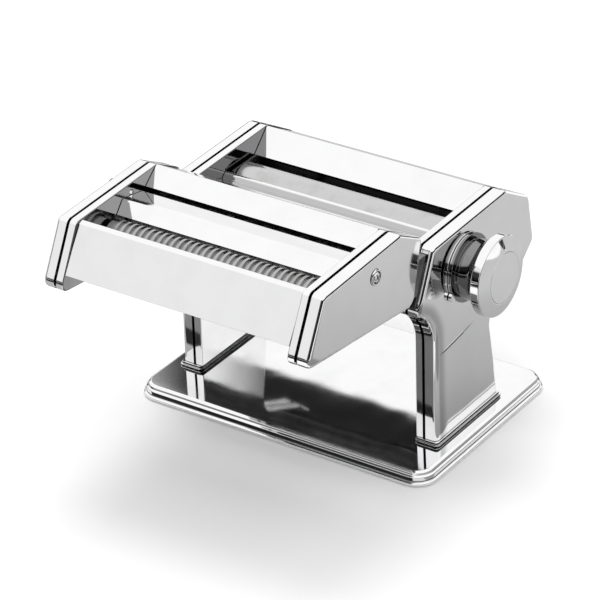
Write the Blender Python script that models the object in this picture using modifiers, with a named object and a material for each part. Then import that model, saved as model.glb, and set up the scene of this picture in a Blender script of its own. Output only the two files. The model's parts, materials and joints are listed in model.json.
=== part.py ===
# Hand-cranked pasta machine: two smooth rollers with a thickness dial, and a lift-off cutter head.
# Metres, +Z up. The crank side is at -X, the dial side at +X, and the cutter head overhangs the front, -Y.
import math

import bmesh
import bpy
from mathutils import Matrix, Vector

MM = 0.001
FIT = 0.3 * MM              # gap left between pieces that touch
RUN = 0.4 * MM              # gap left between pieces that slide or turn
ARC_ERROR = 0.4 * MM        # how far an arc's straight pieces may stray from the true arc

# Base
BASE_HALF_WIDTH = 107.5 * MM
BASE_DEPTH = 145.0 * MM
BASE_TOP = 9.2 * MM
BASE_CORNER = 14.0 * MM
BASE_SHEET = 1.2 * MM
RIM_HEIGHT = 1.0 * MM       # the rubber feet hold the rim this far off the table
RUBBER_RADIUS = 8.0 * MM
RUBBER_INSET = 22.0 * MM

# Side stands, each an inner tray and an outer cover that face each other across a seam
INNER_FACE = 79.5 * MM      # half the width between the two stands
TRAY_SHEET = 1.2 * MM
TRAY_DEPTH = 5.0 * MM
SEAM = 1.3 * MM
COVER_DEPTH = 8.4 * MM
COVER_SHEET = 1.0 * MM
TRAY_EDGE = 0.8 * MM
COVER_EDGE = 3.0 * MM
FOOT_PLATE = 3.0 * MM
FOOT_LIP = 2.2 * MM

TRAY_RIM = INNER_FACE + TRAY_DEPTH
COVER_RIM = TRAY_RIM + SEAM
COVER_FACE = COVER_RIM + COVER_DEPTH
HOLLOW_IN = INNER_FACE + TRAY_SHEET          # the hollow that the gears run in
HOLLOW_OUT = COVER_FACE - COVER_SHEET
STAND_BOTTOM = BASE_TOP + FIT + FOOT_PLATE + FIT

# Outline of the stands: the slanted front of the body, its top, its rear and the leg
ROLLER_HEIGHT = 120.0 * MM
BODY_TOP = ROLLER_HEIGHT + 24.4 * MM
BODY_RISE = 2.0 * MM        # the top edge climbs this much towards the rear
BODY_FRONT_TOP = 35.8 * MM
BODY_FRONT_LOW = (17.3 * MM, ROLLER_HEIGHT - 13.7 * MM)
BODY_REAR_TOP = 115.5 * MM
BODY_SHOULDER = (143.3 * MM, ROLLER_HEIGHT + 10.0 * MM)
BODY_REAR_LOW = (148.2 * MM, ROLLER_HEIGHT - 21.8 * MM)
BODY_UNDER = (136.6 * MM, ROLLER_HEIGHT - 31.6 * MM)
LEG_FRONT_TOP = (36.0 * MM, ROLLER_HEIGHT - 23.2 * MM)
LEG_REAR_TOP = (95.6 * MM, ROLLER_HEIGHT - 49.5 * MM)
LEG_FRONT_FOOT = 34.0 * MM
LEG_REAR_FOOT = 104.6 * MM
LEG_ARC = 27.0 * MM

# Smooth rollers
ROLLER_RADIUS = 14.5 * MM
REAR_ROLLER = 114.0 * MM
THINNEST_SHEET = 0.4 * MM
THROW = 1.25 * MM           # how far the dial's eccentric moves the front roller each way
ROLLER_SIDES = 24
JOURNAL_RADIUS = 4.0 * MM
ROLLER_END = 4.0 * MM       # from the roller's end face to the stand
BLOCK_THICKNESS = 2.6 * MM
FRONT_ROLLER = REAR_ROLLER - 2 * ROLLER_RADIUS - THINNEST_SHEET - THROW
ROLLER_HALF = INNER_FACE - ROLLER_END

# Gears, in two layers inside the crank side's hollow
ROLLER_TEETH = 12
GEAR_WIDTH = 4.0 * MM
TOOTH_REACH = 2.4 * MM      # deep teeth stay in mesh at every thickness
WHEEL_TEETH = 24
PINION_TEETH = 12
DRIVE_CENTRES = 23.9 * MM
DRIVE_ANGLE = math.radians(230)
CRANK_RADIUS = 5.0 * MM
SOCKET_SIDE = 5.4 * MM
SOCKET_DEPTH = 8.5 * MM

CLOSEST = 2 * ROLLER_RADIUS + THINNEST_SHEET
GEAR_TIP = CLOSEST / 2 + TOOTH_REACH
GEAR_ROOT = CLOSEST - GEAR_TIP - RUN
LAYER_ONE = HOLLOW_IN + FIT + BLOCK_THICKNESS + RUN
LAYER_TWO = LAYER_ONE + GEAR_WIDTH + RUN
CRANK_Y = REAR_ROLLER + DRIVE_CENTRES * math.cos(DRIVE_ANGLE)
CRANK_Z = ROLLER_HEIGHT + DRIVE_CENTRES * math.sin(DRIVE_ANGLE)

# Setting dial
DIAL_Y = 70.4 * MM
DIAL_Z = ROLLER_HEIGHT - 4.0 * MM
ECCENTRIC_RADIUS = 6.0 * MM
DIAL_SHAFT_RADIUS = 4.5 * MM
INDEX_RADIUS = 21.5 * MM
INDEX_THICKNESS = 2.5 * MM
INDEX_STEP_RADIUS = 17.5 * MM
INDEX_STEP = 2.5 * MM
DETENT_CIRCLE = 13.5 * MM
DETENT_RADIUS = 1.4 * MM
DIAL_TURN = math.radians(75)
KNOB_RADIUS = 25.4 * MM
KNOB_SIDES = 28
KNOB_RIM = 5.6 * MM
KNOB_NECK = 19.0 * MM
KNOB_NECK_LENGTH = 6.0 * MM
KNOB_FLARE = 6.3 * MM
KNOB_DOME = 3.0 * MM
KNOB_FACE_RADIUS = 17.3 * MM
KNOB_PULL = 4.0 * MM
SPRING_WIRE = 0.9 * MM
SPRING_TURNS = 3.5

INDEX_FACE = COVER_FACE + FIT + INDEX_THICKNESS + INDEX_STEP
KNOB_BACK = INDEX_FACE + 2 * FIT
KNOB_SHOULDER = KNOB_BACK + KNOB_NECK_LENGTH + KNOB_FLARE
KNOB_RIM_FACE = KNOB_SHOULDER + KNOB_RIM
KNOB_FACE = KNOB_RIM_FACE + KNOB_DOME

# Cutter head
CUTTER_HEIGHT = ROLLER_HEIGHT + 27.0 * MM
HEAD_TOP_FRONT = (-76.5 * MM, CUTTER_HEIGHT + 20.2 * MM)
HEAD_TOP_REAR = (1.5 * MM, CUTTER_HEIGHT + 23.0 * MM)
HEAD_SHOULDER = (25.0 * MM, CUTTER_HEIGHT + 10.2 * MM)
HEAD_REAR_LOW = (14.0 * MM, CUTTER_HEIGHT - 30.7 * MM)
HEAD_NOSE = (-97.2 * MM, CUTTER_HEIGHT - 18.7 * MM)
FRONT_PLATE_TOP = (-74.6 * MM, CUTTER_HEIGHT + 18.3 * MM)
FRONT_PLATE_LOW = (-90.9 * MM, CUTTER_HEIGHT - 8.6 * MM)
HEAD_SHEET = 0.9 * MM
CUTTER_RADIUS = 9.5 * MM
CUTTER_SIDES = 8
CUTTER_CENTRES = 18.0 * MM
FRONT_NIP = -57.0 * MM
REAR_NIP = -12.5 * MM
NARROW_CUT = 2.25 * MM
WIDE_CUT = 6.5 * MM
CUTTER_JOURNAL = 3.5 * MM
CUTTER_TEETH = 14
HEAD_LAYER = HOLLOW_IN + 3 * FIT

# Rails on the front of the body, and the hooks that hang the head on them
RAIL_X = 85.7 * MM
RAIL_WEB = 2.5 * MM
RAIL_FLANGE = 7.5 * MM
RAIL_BASE = 11.0 * MM
RAIL_SHEET = 1.5 * MM
RAIL_STAND_OFF = 2.4 * MM
RAIL_LOW = ROLLER_HEIGHT - 9.0 * MM
RAIL_HIGH = ROLLER_HEIGHT + 16.5 * MM
HOOK_LOW = ROLLER_HEIGHT - 1.0 * MM
HOOK_HIGH = ROLLER_HEIGHT + 21.5 * MM
HOOK_HALF_WIDTH = 5.4 * MM

# Fasteners and small pieces
TIE_ROD = (32.0 * MM, ROLLER_HEIGHT - 12.0 * MM)
TIE_ROD_RADIUS = 3.0 * MM
TIE_END_RADIUS = 1.8 * MM
SCREW_HEAD_RADIUS = 5.2 * MM
SCREW_SHANK_RADIUS = 1.7 * MM
RIGHT_SCREW = (-25.2 * MM, CUTTER_HEIGHT + 8.2 * MM)
LEFT_SCREW = (-24.2 * MM, CUTTER_HEIGHT + 15.5 * MM)

for old in list(bpy.data.objects):
    bpy.data.objects.remove(old, do_unlink=True)
PARTS = bpy.data.collections.new("pasta_machine")
CUTTERS = bpy.data.collections.new("cutting_shapes")
bpy.context.scene.collection.children.link(PARTS)
bpy.context.scene.collection.children.link(CUTTERS)


# Materials

def finish(name, colour, roughness, metallic):
    material = bpy.data.materials.new(name)
    material.use_nodes = True
    shader = material.node_tree.nodes["Principled BSDF"]
    shader.inputs["Base Color"].default_value = (*colour, 1)
    shader.inputs["Roughness"].default_value = roughness
    shader.inputs["Metallic"].default_value = metallic
    return material


CHROME = finish("polished_chrome", (0.80, 0.80, 0.81), 0.06, 1.0)
ROLLER_METAL = finish("ground_roller", (0.74, 0.74, 0.75), 0.16, 1.0)
GEAR_STEEL = finish("gear_steel", (0.48, 0.48, 0.49), 0.35, 1.0)
PLAIN_STEEL = finish("plain_steel", (0.60, 0.60, 0.61), 0.28, 1.0)
BUSH_PLASTIC = finish("bush_plastic", (0.86, 0.86, 0.84), 0.45, 0.0)
RUBBER = finish("foot_rubber", (0.03, 0.03, 0.03), 0.75, 0.0)


# Helpers for outlines

def fillet(corners, closed=True):
    """Turn corners (a, b, radius) into points, with each radius as an arc."""
    points = []
    count = len(corners)
    for index, corner in enumerate(corners):
        here = Vector(corner[:2])
        radius = corner[2] if len(corner) > 2 else 0
        is_end = not closed and index in (0, count - 1)
        if radius == 0 or is_end:
            points.append(here)
            continue
        back = (Vector(corners[index - 1][:2]) - here).normalized()
        ahead = (Vector(corners[(index + 1) % count][:2]) - here).normalized()
        half = back.angle(ahead) / 2
        centre = here + (back + ahead).normalized() * radius / math.sin(half)
        start = here + back * radius / math.tan(half) - centre
        turn = math.pi - 2 * half
        if back.x * ahead.y - back.y * ahead.x > 0:
            turn = -turn
        step_turn = 2 * math.acos(max(0.8, 1 - ARC_ERROR / radius))
        steps = max(1, round(abs(turn) / step_turn))
        for step in range(steps + 1):
            points.append(centre + Matrix.Rotation(turn * step / steps, 2) @ start)
    return points


def strip(corners, thickness):
    """The outline of a bent sheet: the path of its middle, thickened to both sides."""
    path = fillet(corners, closed=False)
    left, right = [], []
    for index, point in enumerate(path):
        before = (point - path[index - 1]).normalized() if index else None
        after = (path[index + 1] - point).normalized() if index < len(path) - 1 else None
        along = ((before or after) + (after or before)).normalized()
        side = Vector((-along.y, along.x))
        reach = thickness / 2
        if before and after:
            reach /= max(0.3, math.cos(before.angle(after) / 2))
        left.append(point + side * reach)
        right.append(point - side * reach)
    return left + right[::-1]


def circle(centre, radius, sides):
    return [Vector(centre[:2]) + radius * Vector((math.cos(a), math.sin(a)))
            for a in (2 * math.pi * k / sides for k in range(sides))]


def gear_outline(teeth, root, tip, phase, root_share=0.54, tip_share=0.18):
    """Trapezoid teeth; phase turns the gear, and 0 puts a tooth towards +Y."""
    pitch = 2 * math.pi / teeth
    points = []
    for tooth in range(teeth):
        middle = phase + tooth * pitch
        corners = ((root, -root_share), (tip, -tip_share), (tip, tip_share), (root, root_share))
        for radius, share in corners:
            angle = middle + share * pitch / 2
            points.append(radius * Vector((math.cos(angle), math.sin(angle))))
    return points


def body_outline():
    return fillet([
        (BODY_FRONT_TOP, BODY_TOP, 4.0 * MM), (BODY_REAR_TOP, BODY_TOP + BODY_RISE, 8.0 * MM),
        (*BODY_SHOULDER, 6.0 * MM),
        (*BODY_REAR_LOW, 5.0 * MM), (*BODY_UNDER, 6.0 * MM), (*LEG_REAR_TOP, 12.0 * MM),
        (LEG_REAR_FOOT, STAND_BOTTOM), (LEG_FRONT_FOOT, STAND_BOTTOM),
        (*LEG_FRONT_TOP, LEG_ARC), (*BODY_FRONT_LOW, 4.4 * MM)])


def head_outline():
    return fillet([(*HEAD_TOP_FRONT, 4.0 * MM), (*HEAD_TOP_REAR, 4.0 * MM), (*HEAD_SHOULDER, 4.0 * MM),
                   (*HEAD_REAR_LOW, 8.0 * MM), (*HEAD_NOSE, 5.7 * MM)])


# Frames that the moving pieces hang from; the origin is at the middle of the footprint, on the table

DEPTH_FRONT = min(point.x for point in head_outline())
DEPTH_REAR = max(point.x for point in body_outline())
CENTRE = Vector(((KNOB_FACE - BASE_HALF_WIDTH) / 2, (DEPTH_FRONT + DEPTH_REAR) / 2, 0))


def frame(name, position, parent=None):
    empty = bpy.data.objects.new(name, None)
    empty.empty_display_size = 0.01
    PARTS.objects.link(empty)
    empty.parent = parent
    empty.location = position
    return empty


MACHINE = frame("machine_frame", -CENTRE)
ROLLER_CARRIAGE = frame("carriage_frame", (0, FRONT_ROLLER, ROLLER_HEIGHT), MACHINE)
CUTTER_HEAD = frame("cutter_head_frame", (0, *HEAD_REAR_LOW), MACHINE)
KNOB_FRAME = frame("knob_frame", (KNOB_BACK, DIAL_Y, DIAL_Z), MACHINE)


# Helpers for solids

def keep(obj, material, parent=None, collection=PARTS):
    for holder in list(obj.users_collection):
        holder.objects.unlink(obj)
    collection.objects.link(obj)
    obj.data.materials.clear()
    if material:
        obj.data.materials.append(material)
    if parent:
        world = obj.matrix_world.copy()
        obj.parent = parent
        obj.matrix_parent_inverse = Matrix.Identity(4)
        obj.matrix_basis = PARENT_PLACES[parent.name].inverted() @ world
    return obj


PARENT_PLACES = {
    MACHINE.name: Matrix.Identity(4),
    ROLLER_CARRIAGE.name: Matrix.Translation(ROLLER_CARRIAGE.location),
    CUTTER_HEAD.name: Matrix.Translation(CUTTER_HEAD.location),
    KNOB_FRAME.name: Matrix.Translation(KNOB_FRAME.location),
}

# An outline in (y, z) that is extruded along X, one in (x, y) along Z
ACROSS = Matrix(((0, 0, 1), (1, 0, 0), (0, 1, 0))).to_4x4()
UPRIGHT = Matrix.Identity(4)


def extruded(name, loops, low, high, material, parent=MACHINE, origin=(0, 0), turn=ACROSS,
             centre=None):
    """Fill a flat curve of one outline and its holes, and give it a thickness from low to high."""
    curve = bpy.data.curves.new(name + "_curve", "CURVE")
    curve.dimensions = "2D"
    curve.fill_mode = "BOTH"
    curve.extrude = (high - low) / 2
    for loop in loops:
        spline = curve.splines.new("POLY")
        spline.points.add(len(loop) - 1)
        spline.use_cyclic_u = True
        for point, place in zip(spline.points, loop):
            point.co = (place[0] - origin[0], place[1] - origin[1], 0, 1)
    flat = bpy.data.objects.new(name + "_flat", curve)
    bpy.context.scene.collection.objects.link(flat)
    local = Vector((origin[0], origin[1], (low + high) / 2))
    start = Matrix.Translation(centre) if centre else Matrix.Identity(4)
    flat.matrix_world = start @ turn @ Matrix.Translation(local)
    bpy.context.view_layer.update()
    evaluated = flat.evaluated_get(bpy.context.evaluated_depsgraph_get())
    mesh = bpy.data.meshes.new_from_object(evaluated)
    work = bmesh.new()
    work.from_mesh(mesh)
    bmesh.ops.remove_doubles(work, verts=work.verts, dist=0.001 * MM)
    bmesh.ops.recalc_face_normals(work, faces=work.faces)
    work.to_mesh(mesh)
    work.free()
    mesh.name = name
    solid = bpy.data.objects.new(name, mesh)
    bpy.context.scene.collection.objects.link(solid)
    solid.matrix_world = flat.matrix_world
    bpy.data.objects.remove(flat, do_unlink=True)
    return keep(solid, material, parent if material else None, PARTS if material else CUTTERS)


def turned(name, profile, place, steps, material, parent=MACHINE, closed=False):
    """Spin (radius, x) points about an axis along X through place, which is the object's origin."""
    mesh = bpy.data.meshes.new(name)
    points = [(radius, 0, x - place[0]) for radius, x in profile]
    edges = [(k, k + 1) for k in range(len(points) - 1)]
    if closed:
        edges.append((len(points) - 1, 0))
    mesh.from_pydata(points, edges, [])
    obj = bpy.data.objects.new(name, mesh)
    bpy.context.scene.collection.objects.link(obj)
    screw = obj.modifiers.new("turn", "SCREW")
    screw.steps = steps
    screw.render_steps = steps
    screw.use_merge_vertices = True
    screw.merge_threshold = 0.01 * MM
    screw.use_smooth_shade = True
    obj.matrix_world = Matrix.Translation(place) @ Matrix.Rotation(math.pi / 2, 4, "Y")
    return keep(obj, material, parent)


def cylinder(name, place, radius, low, high, sides=24, material=None, parent=MACHINE):
    """A plain cylinder along X from low to high through (y, z); without a material it is a cutting shape."""
    bpy.ops.mesh.primitive_cylinder_add(vertices=sides, radius=radius, depth=high - low,
                                        location=((low + high) / 2, *place), rotation=(0, math.pi / 2, 0))
    obj = bpy.context.object
    obj.name = name
    if material is None:
        return keep(obj, None, None, CUTTERS)
    return keep(obj, material, parent)


def combine(obj, tool, operation="DIFFERENCE"):
    """Cut a shape out of a solid, or join it on; the tool stays as a hidden guide that moves with it."""
    tool.hide_render = True
    tool.display_type = "WIRE"
    for holder in list(tool.users_collection):
        holder.objects.unlink(tool)
    CUTTERS.objects.link(tool)
    if tool.parent is None:
        world = tool.matrix_basis.copy()
        tool.parent = MACHINE
        tool.matrix_basis = world
    joint = obj.modifiers.new(operation.lower(), "BOOLEAN")
    joint.object = tool
    joint.operation = operation
    joint.solver = "EXACT"
    return obj


def drill(obj, place, radius, low, high, sides=16):
    return combine(obj, cylinder(obj.name + "_drill", place, radius, low, high, sides))


def inset(outline, distance):
    """Draw a closed outline in by an even distance, keeping its count of points."""
    count = len(outline)
    area = sum(outline[k - 1].x * outline[k].y - outline[k].x * outline[k - 1].y for k in range(count))
    inward = math.copysign(1, area)
    points = []
    for k, here in enumerate(outline):
        before = (here - outline[k - 1]).normalized()
        after = (outline[(k + 1) % count] - here).normalized()
        mitre = Vector((-before.y - after.y, before.x + after.x)).normalized() * inward
        points.append(here + mitre * distance / abs(mitre.x * before.y - mitre.y * before.x))
    return points


def pressed(name, outline, outside, inside, along_x, material, parent=MACHINE):
    """Pressed sheet with an open side: rings of (inset, height) up the outside, then down the inside."""
    work = bmesh.new()
    rings = []
    for reach, height in outside + inside:
        places = [(height, *point) if along_x else (*point, height) for point in inset(outline, reach)]
        rings.append([work.verts.new(place) for place in places])
    count = len(outline)
    face = len(outside) - 1
    for level in range(len(rings)):
        if level == face:
            work.faces.new(rings[face])
            work.faces.new(rings[face + 1])
            continue
        here, ahead = rings[level], rings[(level + 1) % len(rings)]
        for k in range(count):
            work.faces.new((here[k - 1], here[k], ahead[k], ahead[k - 1]))
    bmesh.ops.recalc_face_normals(work, faces=work.faces)
    mesh = bpy.data.meshes.new(name)
    work.to_mesh(mesh)
    work.free()
    obj = bpy.data.objects.new(name, mesh)
    bpy.context.scene.collection.objects.link(obj)
    return keep(obj, material, parent)


def tray(name, outline, face, rim, sheet, edge, material, parent=MACHINE):
    """A tray whose walls run from the rim to the face along X, with a rounded or a broken edge outside."""
    out = math.copysign(1, face - rim)
    outside = [(0, rim), (0, face - out * edge), (edge, face)]
    inside = [(sheet, face - out * sheet), (sheet, rim)]
    if edge > MM:
        soft = edge * (1 - math.cos(math.pi / 4))
        outside.insert(2, (soft, face - out * soft))
        inside[:1] = [(edge, face - out * sheet), (sheet, face - out * edge)]
    return pressed(name, outline, outside, inside, True, material, parent)


def block(name, low, high, material, parent=MACHINE):
    """A plain box between two corners."""
    low, high = Vector(low), Vector(high)
    bpy.ops.mesh.primitive_cube_add(size=1, location=(low + high) / 2)
    obj = bpy.context.object
    obj.name = name
    obj.scale = high - low
    bpy.ops.object.transform_apply(location=False, rotation=False, scale=True)
    if material is None:
        return keep(obj, None, None, CUTTERS)
    return keep(obj, material, parent)


def both_sides(low, high, side):
    """A span of x, given outwards from the middle, on the side asked for."""
    return (low, high) if side > 0 else (-high, -low)


SIDES = (("left", -1), ("right", 1))


# Base: a pressed pan with a stepped, rolled rim, open below, on four rubber feet

def make_base():
    half, depth, corner = BASE_HALF_WIDTH, BASE_DEPTH, BASE_CORNER
    outline = fillet([(-half, 0, corner), (half, 0, corner), (half, depth, corner), (-half, depth, corner)])
    rise = BASE_TOP - RIM_HEIGHT
    profile = ((0.0, 0.0), (0.0, 0.14), (1.2, 0.24), (0.5, 0.34), (0.7, 0.60), (1.9, 0.72), (1.7, 0.90),
               (2.7, 1.0))
    outside = [(reach * MM, RIM_HEIGHT + rise * share) for reach, share in profile]
    wall = outside[-1][0] + 0.4 * MM
    inside = [(wall, BASE_TOP - BASE_SHEET), (wall, RIM_HEIGHT)]
    pressed("base_pan", outline, outside, inside, False, CHROME)


def make_rubber_foot(name, x, y):
    """A tapered rubber foot with a screw recess, under the pan's top."""
    top = BASE_TOP - BASE_SHEET - FIT
    profile = [(0, top), (RUBBER_RADIUS, top), (0.85 * RUBBER_RADIUS, 0), (0.35 * RUBBER_RADIUS, 0),
               (0.35 * RUBBER_RADIUS, 0.3 * top), (0, 0.3 * top)]
    obj = turned(name, profile, Vector((0, 0, 0)), 12, RUBBER)
    obj.matrix_basis = Matrix.Translation((x, y, 0))


make_base()
for depth_name, foot_y in (("front", RUBBER_INSET), ("rear", BASE_DEPTH - RUBBER_INSET)):
    for side_name, side in SIDES:
        foot_x = side * (BASE_HALF_WIDTH - RUBBER_INSET)
        make_rubber_foot(f"{depth_name}_{side_name}_rubber_foot", foot_x, foot_y)


# Side stands

def long_hole(place, half_y, half_z, sides=12):
    """The outline of a hole with round ends, longer in y or in z."""
    radius = min(half_y, half_z)
    shift = Vector((half_y - radius, half_z - radius))
    points = []
    for k in range(sides):
        angle = 2 * math.pi * (k + 0.5) / sides
        direction = Vector((math.cos(angle), math.sin(angle)))
        points.append(Vector(place) + direction * radius
                      + Vector((math.copysign(shift.x, direction.x), math.copysign(shift.y, direction.y))))
    return points


def cut_window(obj, name, loop, side):
    """Cut an outline through the inner tray of one stand."""
    low, high = both_sides(INNER_FACE - MM, HOLLOW_IN + MM, side)
    combine(obj, extruded(name, [loop], low, high, None))


ROLLER_BOTTOM = ROLLER_HEIGHT - ROLLER_RADIUS
SCRAPER_BAR = (FRONT_ROLLER - 10.5 * MM, FRONT_ROLLER - 3.5 * MM,      # front, rear, bottom, top
               ROLLER_BOTTOM - 8.0 * MM, ROLLER_BOTTOM - 5.5 * MM)


def bar_window():
    room = THROW + RUN
    front, rear, low, high = SCRAPER_BAR
    return [(front - room, low - RUN), (rear + room, low - RUN),
            (rear + room, high + RUN), (front - room, high + RUN)]


def make_stand(side_name, side):
    plate = tray(f"{side_name}_side_plate", body_outline(), side * INNER_FACE, side * TRAY_RIM, TRAY_SHEET,
                 TRAY_EDGE, CHROME)
    slot = long_hole((FRONT_ROLLER, ROLLER_HEIGHT), JOURNAL_RADIUS + RUN + THROW, JOURNAL_RADIUS + RUN)
    cut_window(plate, f"{side_name}_journal_slot", slot, side)
    cut_window(plate, f"{side_name}_bar_window", bar_window(), side)
    low, high = both_sides(INNER_FACE - MM, HOLLOW_IN + MM, side)
    drill(plate, (REAR_ROLLER, ROLLER_HEIGHT), JOURNAL_RADIUS + 2.3 * MM, low, high)
    drill(plate, TIE_ROD, TIE_END_RADIUS + FIT, low, high, 8)
    cover = tray(f"{side_name}_cover", body_outline(), side * COVER_FACE, side * COVER_RIM, COVER_SHEET,
                 COVER_EDGE, CHROME)
    low, high = both_sides(HOLLOW_OUT - MM, COVER_FACE + MM, side)
    if side > 0:
        drill(cover, (DIAL_Y, DIAL_Z), ECCENTRIC_RADIUS + 3.0 * MM, low, high)
    else:
        drill(cover, (CRANK_Y, CRANK_Z), CRANK_RADIUS + RUN, low, high)
        low, high = both_sides(INNER_FACE - MM, HOLLOW_IN + MM, side)
        drill(plate, (CRANK_Y, CRANK_Z), JOURNAL_RADIUS + RUN, low, high, 12)


def make_foot_plate(side_name, side):
    """The flange that the stand is screwed down by, a little larger than the leg, with a stepped edge."""
    front, rear = LEG_FRONT_FOOT, LEG_REAR_FOOT - 1.2 * MM
    floor = BASE_TOP + FIT
    plate = None
    for level, (grow, share_low, share_high) in enumerate(((FOOT_LIP, 0.0, 0.55), (FOOT_LIP / 2, 0.4, 1.0))):
        x_low, x_high = both_sides(INNER_FACE - grow / 4, COVER_FACE + grow, side)
        corner = 3.0 * MM
        outline = fillet([(x_low, front - grow, corner), (x_high, front - grow, corner),
                          (x_high, rear + grow, corner), (x_low, rear + grow, corner)])
        low, high = floor + share_low * FOOT_PLATE, floor + share_high * FOOT_PLATE
        if level == 0:
            plate = extruded(f"{side_name}_foot_plate", [outline], low, high, CHROME, turn=UPRIGHT)
        else:
            step = extruded(f"{side_name}_foot_step", [outline], low, high, None, turn=UPRIGHT)
            combine(plate, step, "UNION")


for side_name, side in SIDES:
    make_stand(side_name, side)
    make_foot_plate(side_name, side)


# Guide plates, end guides and tie rod between the stands

SPAN = INNER_FACE - FIT
NIP_LIP = (REAR_ROLLER - 13.8 * MM, ROLLER_HEIGHT + 12.1 * MM)
BEAD = (FRONT_ROLLER - 11.2 * MM, ROLLER_HEIGHT + 13.2 * MM)


def make_guides():
    rear = strip([NIP_LIP, (BODY_REAR_TOP - 1.0 * MM, BODY_TOP + 1.2 * MM, 1.0 * MM),
                  (BODY_SHOULDER[0] - 2.2 * MM, BODY_SHOULDER[1] + 0.3 * MM, 5.0 * MM),
                  (BODY_REAR_LOW[0] - 2.4 * MM, BODY_REAR_LOW[1] + 2.0 * MM)], 1.0 * MM)
    extruded("rear_guide_plate", [rear], -SPAN, SPAN, CHROME)
    front = strip([(BEAD[0] - 1.4 * MM, BEAD[1] - 1.9 * MM), (*BEAD, 1.4 * MM),
                   (BEAD[0] - 4.2 * MM, BEAD[1] + 0.3 * MM, 2.0 * MM),
                   (BEAD[0] - 6.6 * MM, BEAD[1] - 2.2 * MM, 1.5 * MM),
                   (BEAD[0] - 19.0 * MM, BEAD[1] + 1.6 * MM, 1.5 * MM),
                   (BEAD[0] - 22.0 * MM, BEAD[1] + 4.8 * MM, 1.5 * MM),
                   (BEAD[0] - 27.0 * MM, BEAD[1] + 5.6 * MM, 1.5 * MM),
                   (BODY_FRONT_TOP + 1.6 * MM, BODY_TOP - 1.4 * MM, 2.5 * MM),
                   (BODY_FRONT_LOW[0] + 4.6 * MM, BODY_FRONT_LOW[1] + 3.6 * MM)], 1.0 * MM)
    extruded("front_guide_plate", [front], -SPAN, SPAN, CHROME)
    for side_name, side in SIDES:
        face = ROLLER_HALF + 2 * FIT
        low, high = both_sides(face, face + 1.5 * MM, side)
        top = ROLLER_HEIGHT + ROLLER_RADIUS - 1.0 * MM
        bottom = ROLLER_HEIGHT + JOURNAL_RADIUS + RUN + 0.8 * MM
        under = NIP_LIP[1] - 0.9 * MM
        outline = [(BEAD[0] + 1.2 * MM, bottom + 2.0 * MM), (BEAD[0] + 4.0 * MM, bottom),
                   (NIP_LIP[0] + 7.0 * MM, bottom), (NIP_LIP[0] + 7.0 * MM, under),
                   (NIP_LIP[0] - 0.8 * MM, under),
                   (NIP_LIP[0] - 1.3 * MM, top), (BEAD[0] + 1.2 * MM, top)]
        guide = extruded(f"{side_name}_end_guide", [outline], low, high, CHROME)
        low, high = both_sides(face + 0.5 * MM, SPAN, side)
        lug = block(f"{side_name}_guide_lug", (low, FRONT_ROLLER - 8.0 * MM, bottom + 0.2 * MM),
                    (high, FRONT_ROLLER + 16.0 * MM, bottom + 3.0 * MM), None)
        combine(guide, lug, "UNION")
    end = HOLLOW_IN + 1.5 * MM
    turned("tie_rod", [(0, end), (TIE_END_RADIUS, end), (TIE_END_RADIUS, SPAN), (TIE_ROD_RADIUS, SPAN),
                       (TIE_ROD_RADIUS, -SPAN), (TIE_END_RADIUS, -SPAN), (TIE_END_RADIUS, -end), (0, -end)],
           Vector((0, *TIE_ROD)), 12, PLAIN_STEEL)


def make_scrapers():
    """A blade under each smooth roller; the front one is carried by the sliding bearing blocks."""
    touch = ROLLER_RADIUS + FIT + 0.4 * MM
    angle = math.radians(-68)
    tip = (REAR_ROLLER + touch * math.cos(angle), ROLLER_HEIGHT + touch * math.sin(angle))
    rear = strip([tip, (tip[0] + 4.5 * MM, tip[1] - 1.6 * MM, 1.5 * MM),
                  (tip[0] + 15.0 * MM, tip[1] - 1.6 * MM, 1.5 * MM), (tip[0] + 16.5 * MM, tip[1] - 9.0 * MM)],
                 0.8 * MM)
    extruded("rear_scraper", [rear], -SPAN, SPAN, PLAIN_STEEL)
    bar_front, bar_rear, bar_low, bar_high = SCRAPER_BAR
    block("scraper_bar", (-HOLLOW_IN, bar_front, bar_low), (HOLLOW_IN, bar_rear, bar_high), PLAIN_STEEL,
          ROLLER_CARRIAGE)
    angle = math.radians(-112)
    tip = (FRONT_ROLLER + touch * math.cos(angle), ROLLER_HEIGHT + touch * math.sin(angle))
    foot = bar_high + FIT + 0.4 * MM
    blade = strip([(bar_rear - 0.5 * MM, foot), (bar_front + 1.5 * MM, foot, 1.0 * MM),
                   (tip[0] - 2.2 * MM, tip[1] - 1.2 * MM, 0.8 * MM), tip], 0.8 * MM)
    extruded("front_scraper", [blade], -SPAN, SPAN, PLAIN_STEEL, ROLLER_CARRIAGE)


make_guides()
make_scrapers()


# Smooth rollers with their bearings and gears

def smooth_roller(name, y, left_end, parent):
    right_end = HOLLOW_IN + FIT + BLOCK_THICKNESS + 2 * FIT
    turned(name, [(0, right_end), (JOURNAL_RADIUS, right_end), (JOURNAL_RADIUS, ROLLER_HALF),
                  (ROLLER_RADIUS, ROLLER_HALF), (ROLLER_RADIUS, -ROLLER_HALF),
                  (JOURNAL_RADIUS, -ROLLER_HALF), (JOURNAL_RADIUS, -left_end), (0, -left_end)],
           Vector((0, y, ROLLER_HEIGHT)), ROLLER_SIDES, ROLLER_METAL, parent)


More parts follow.
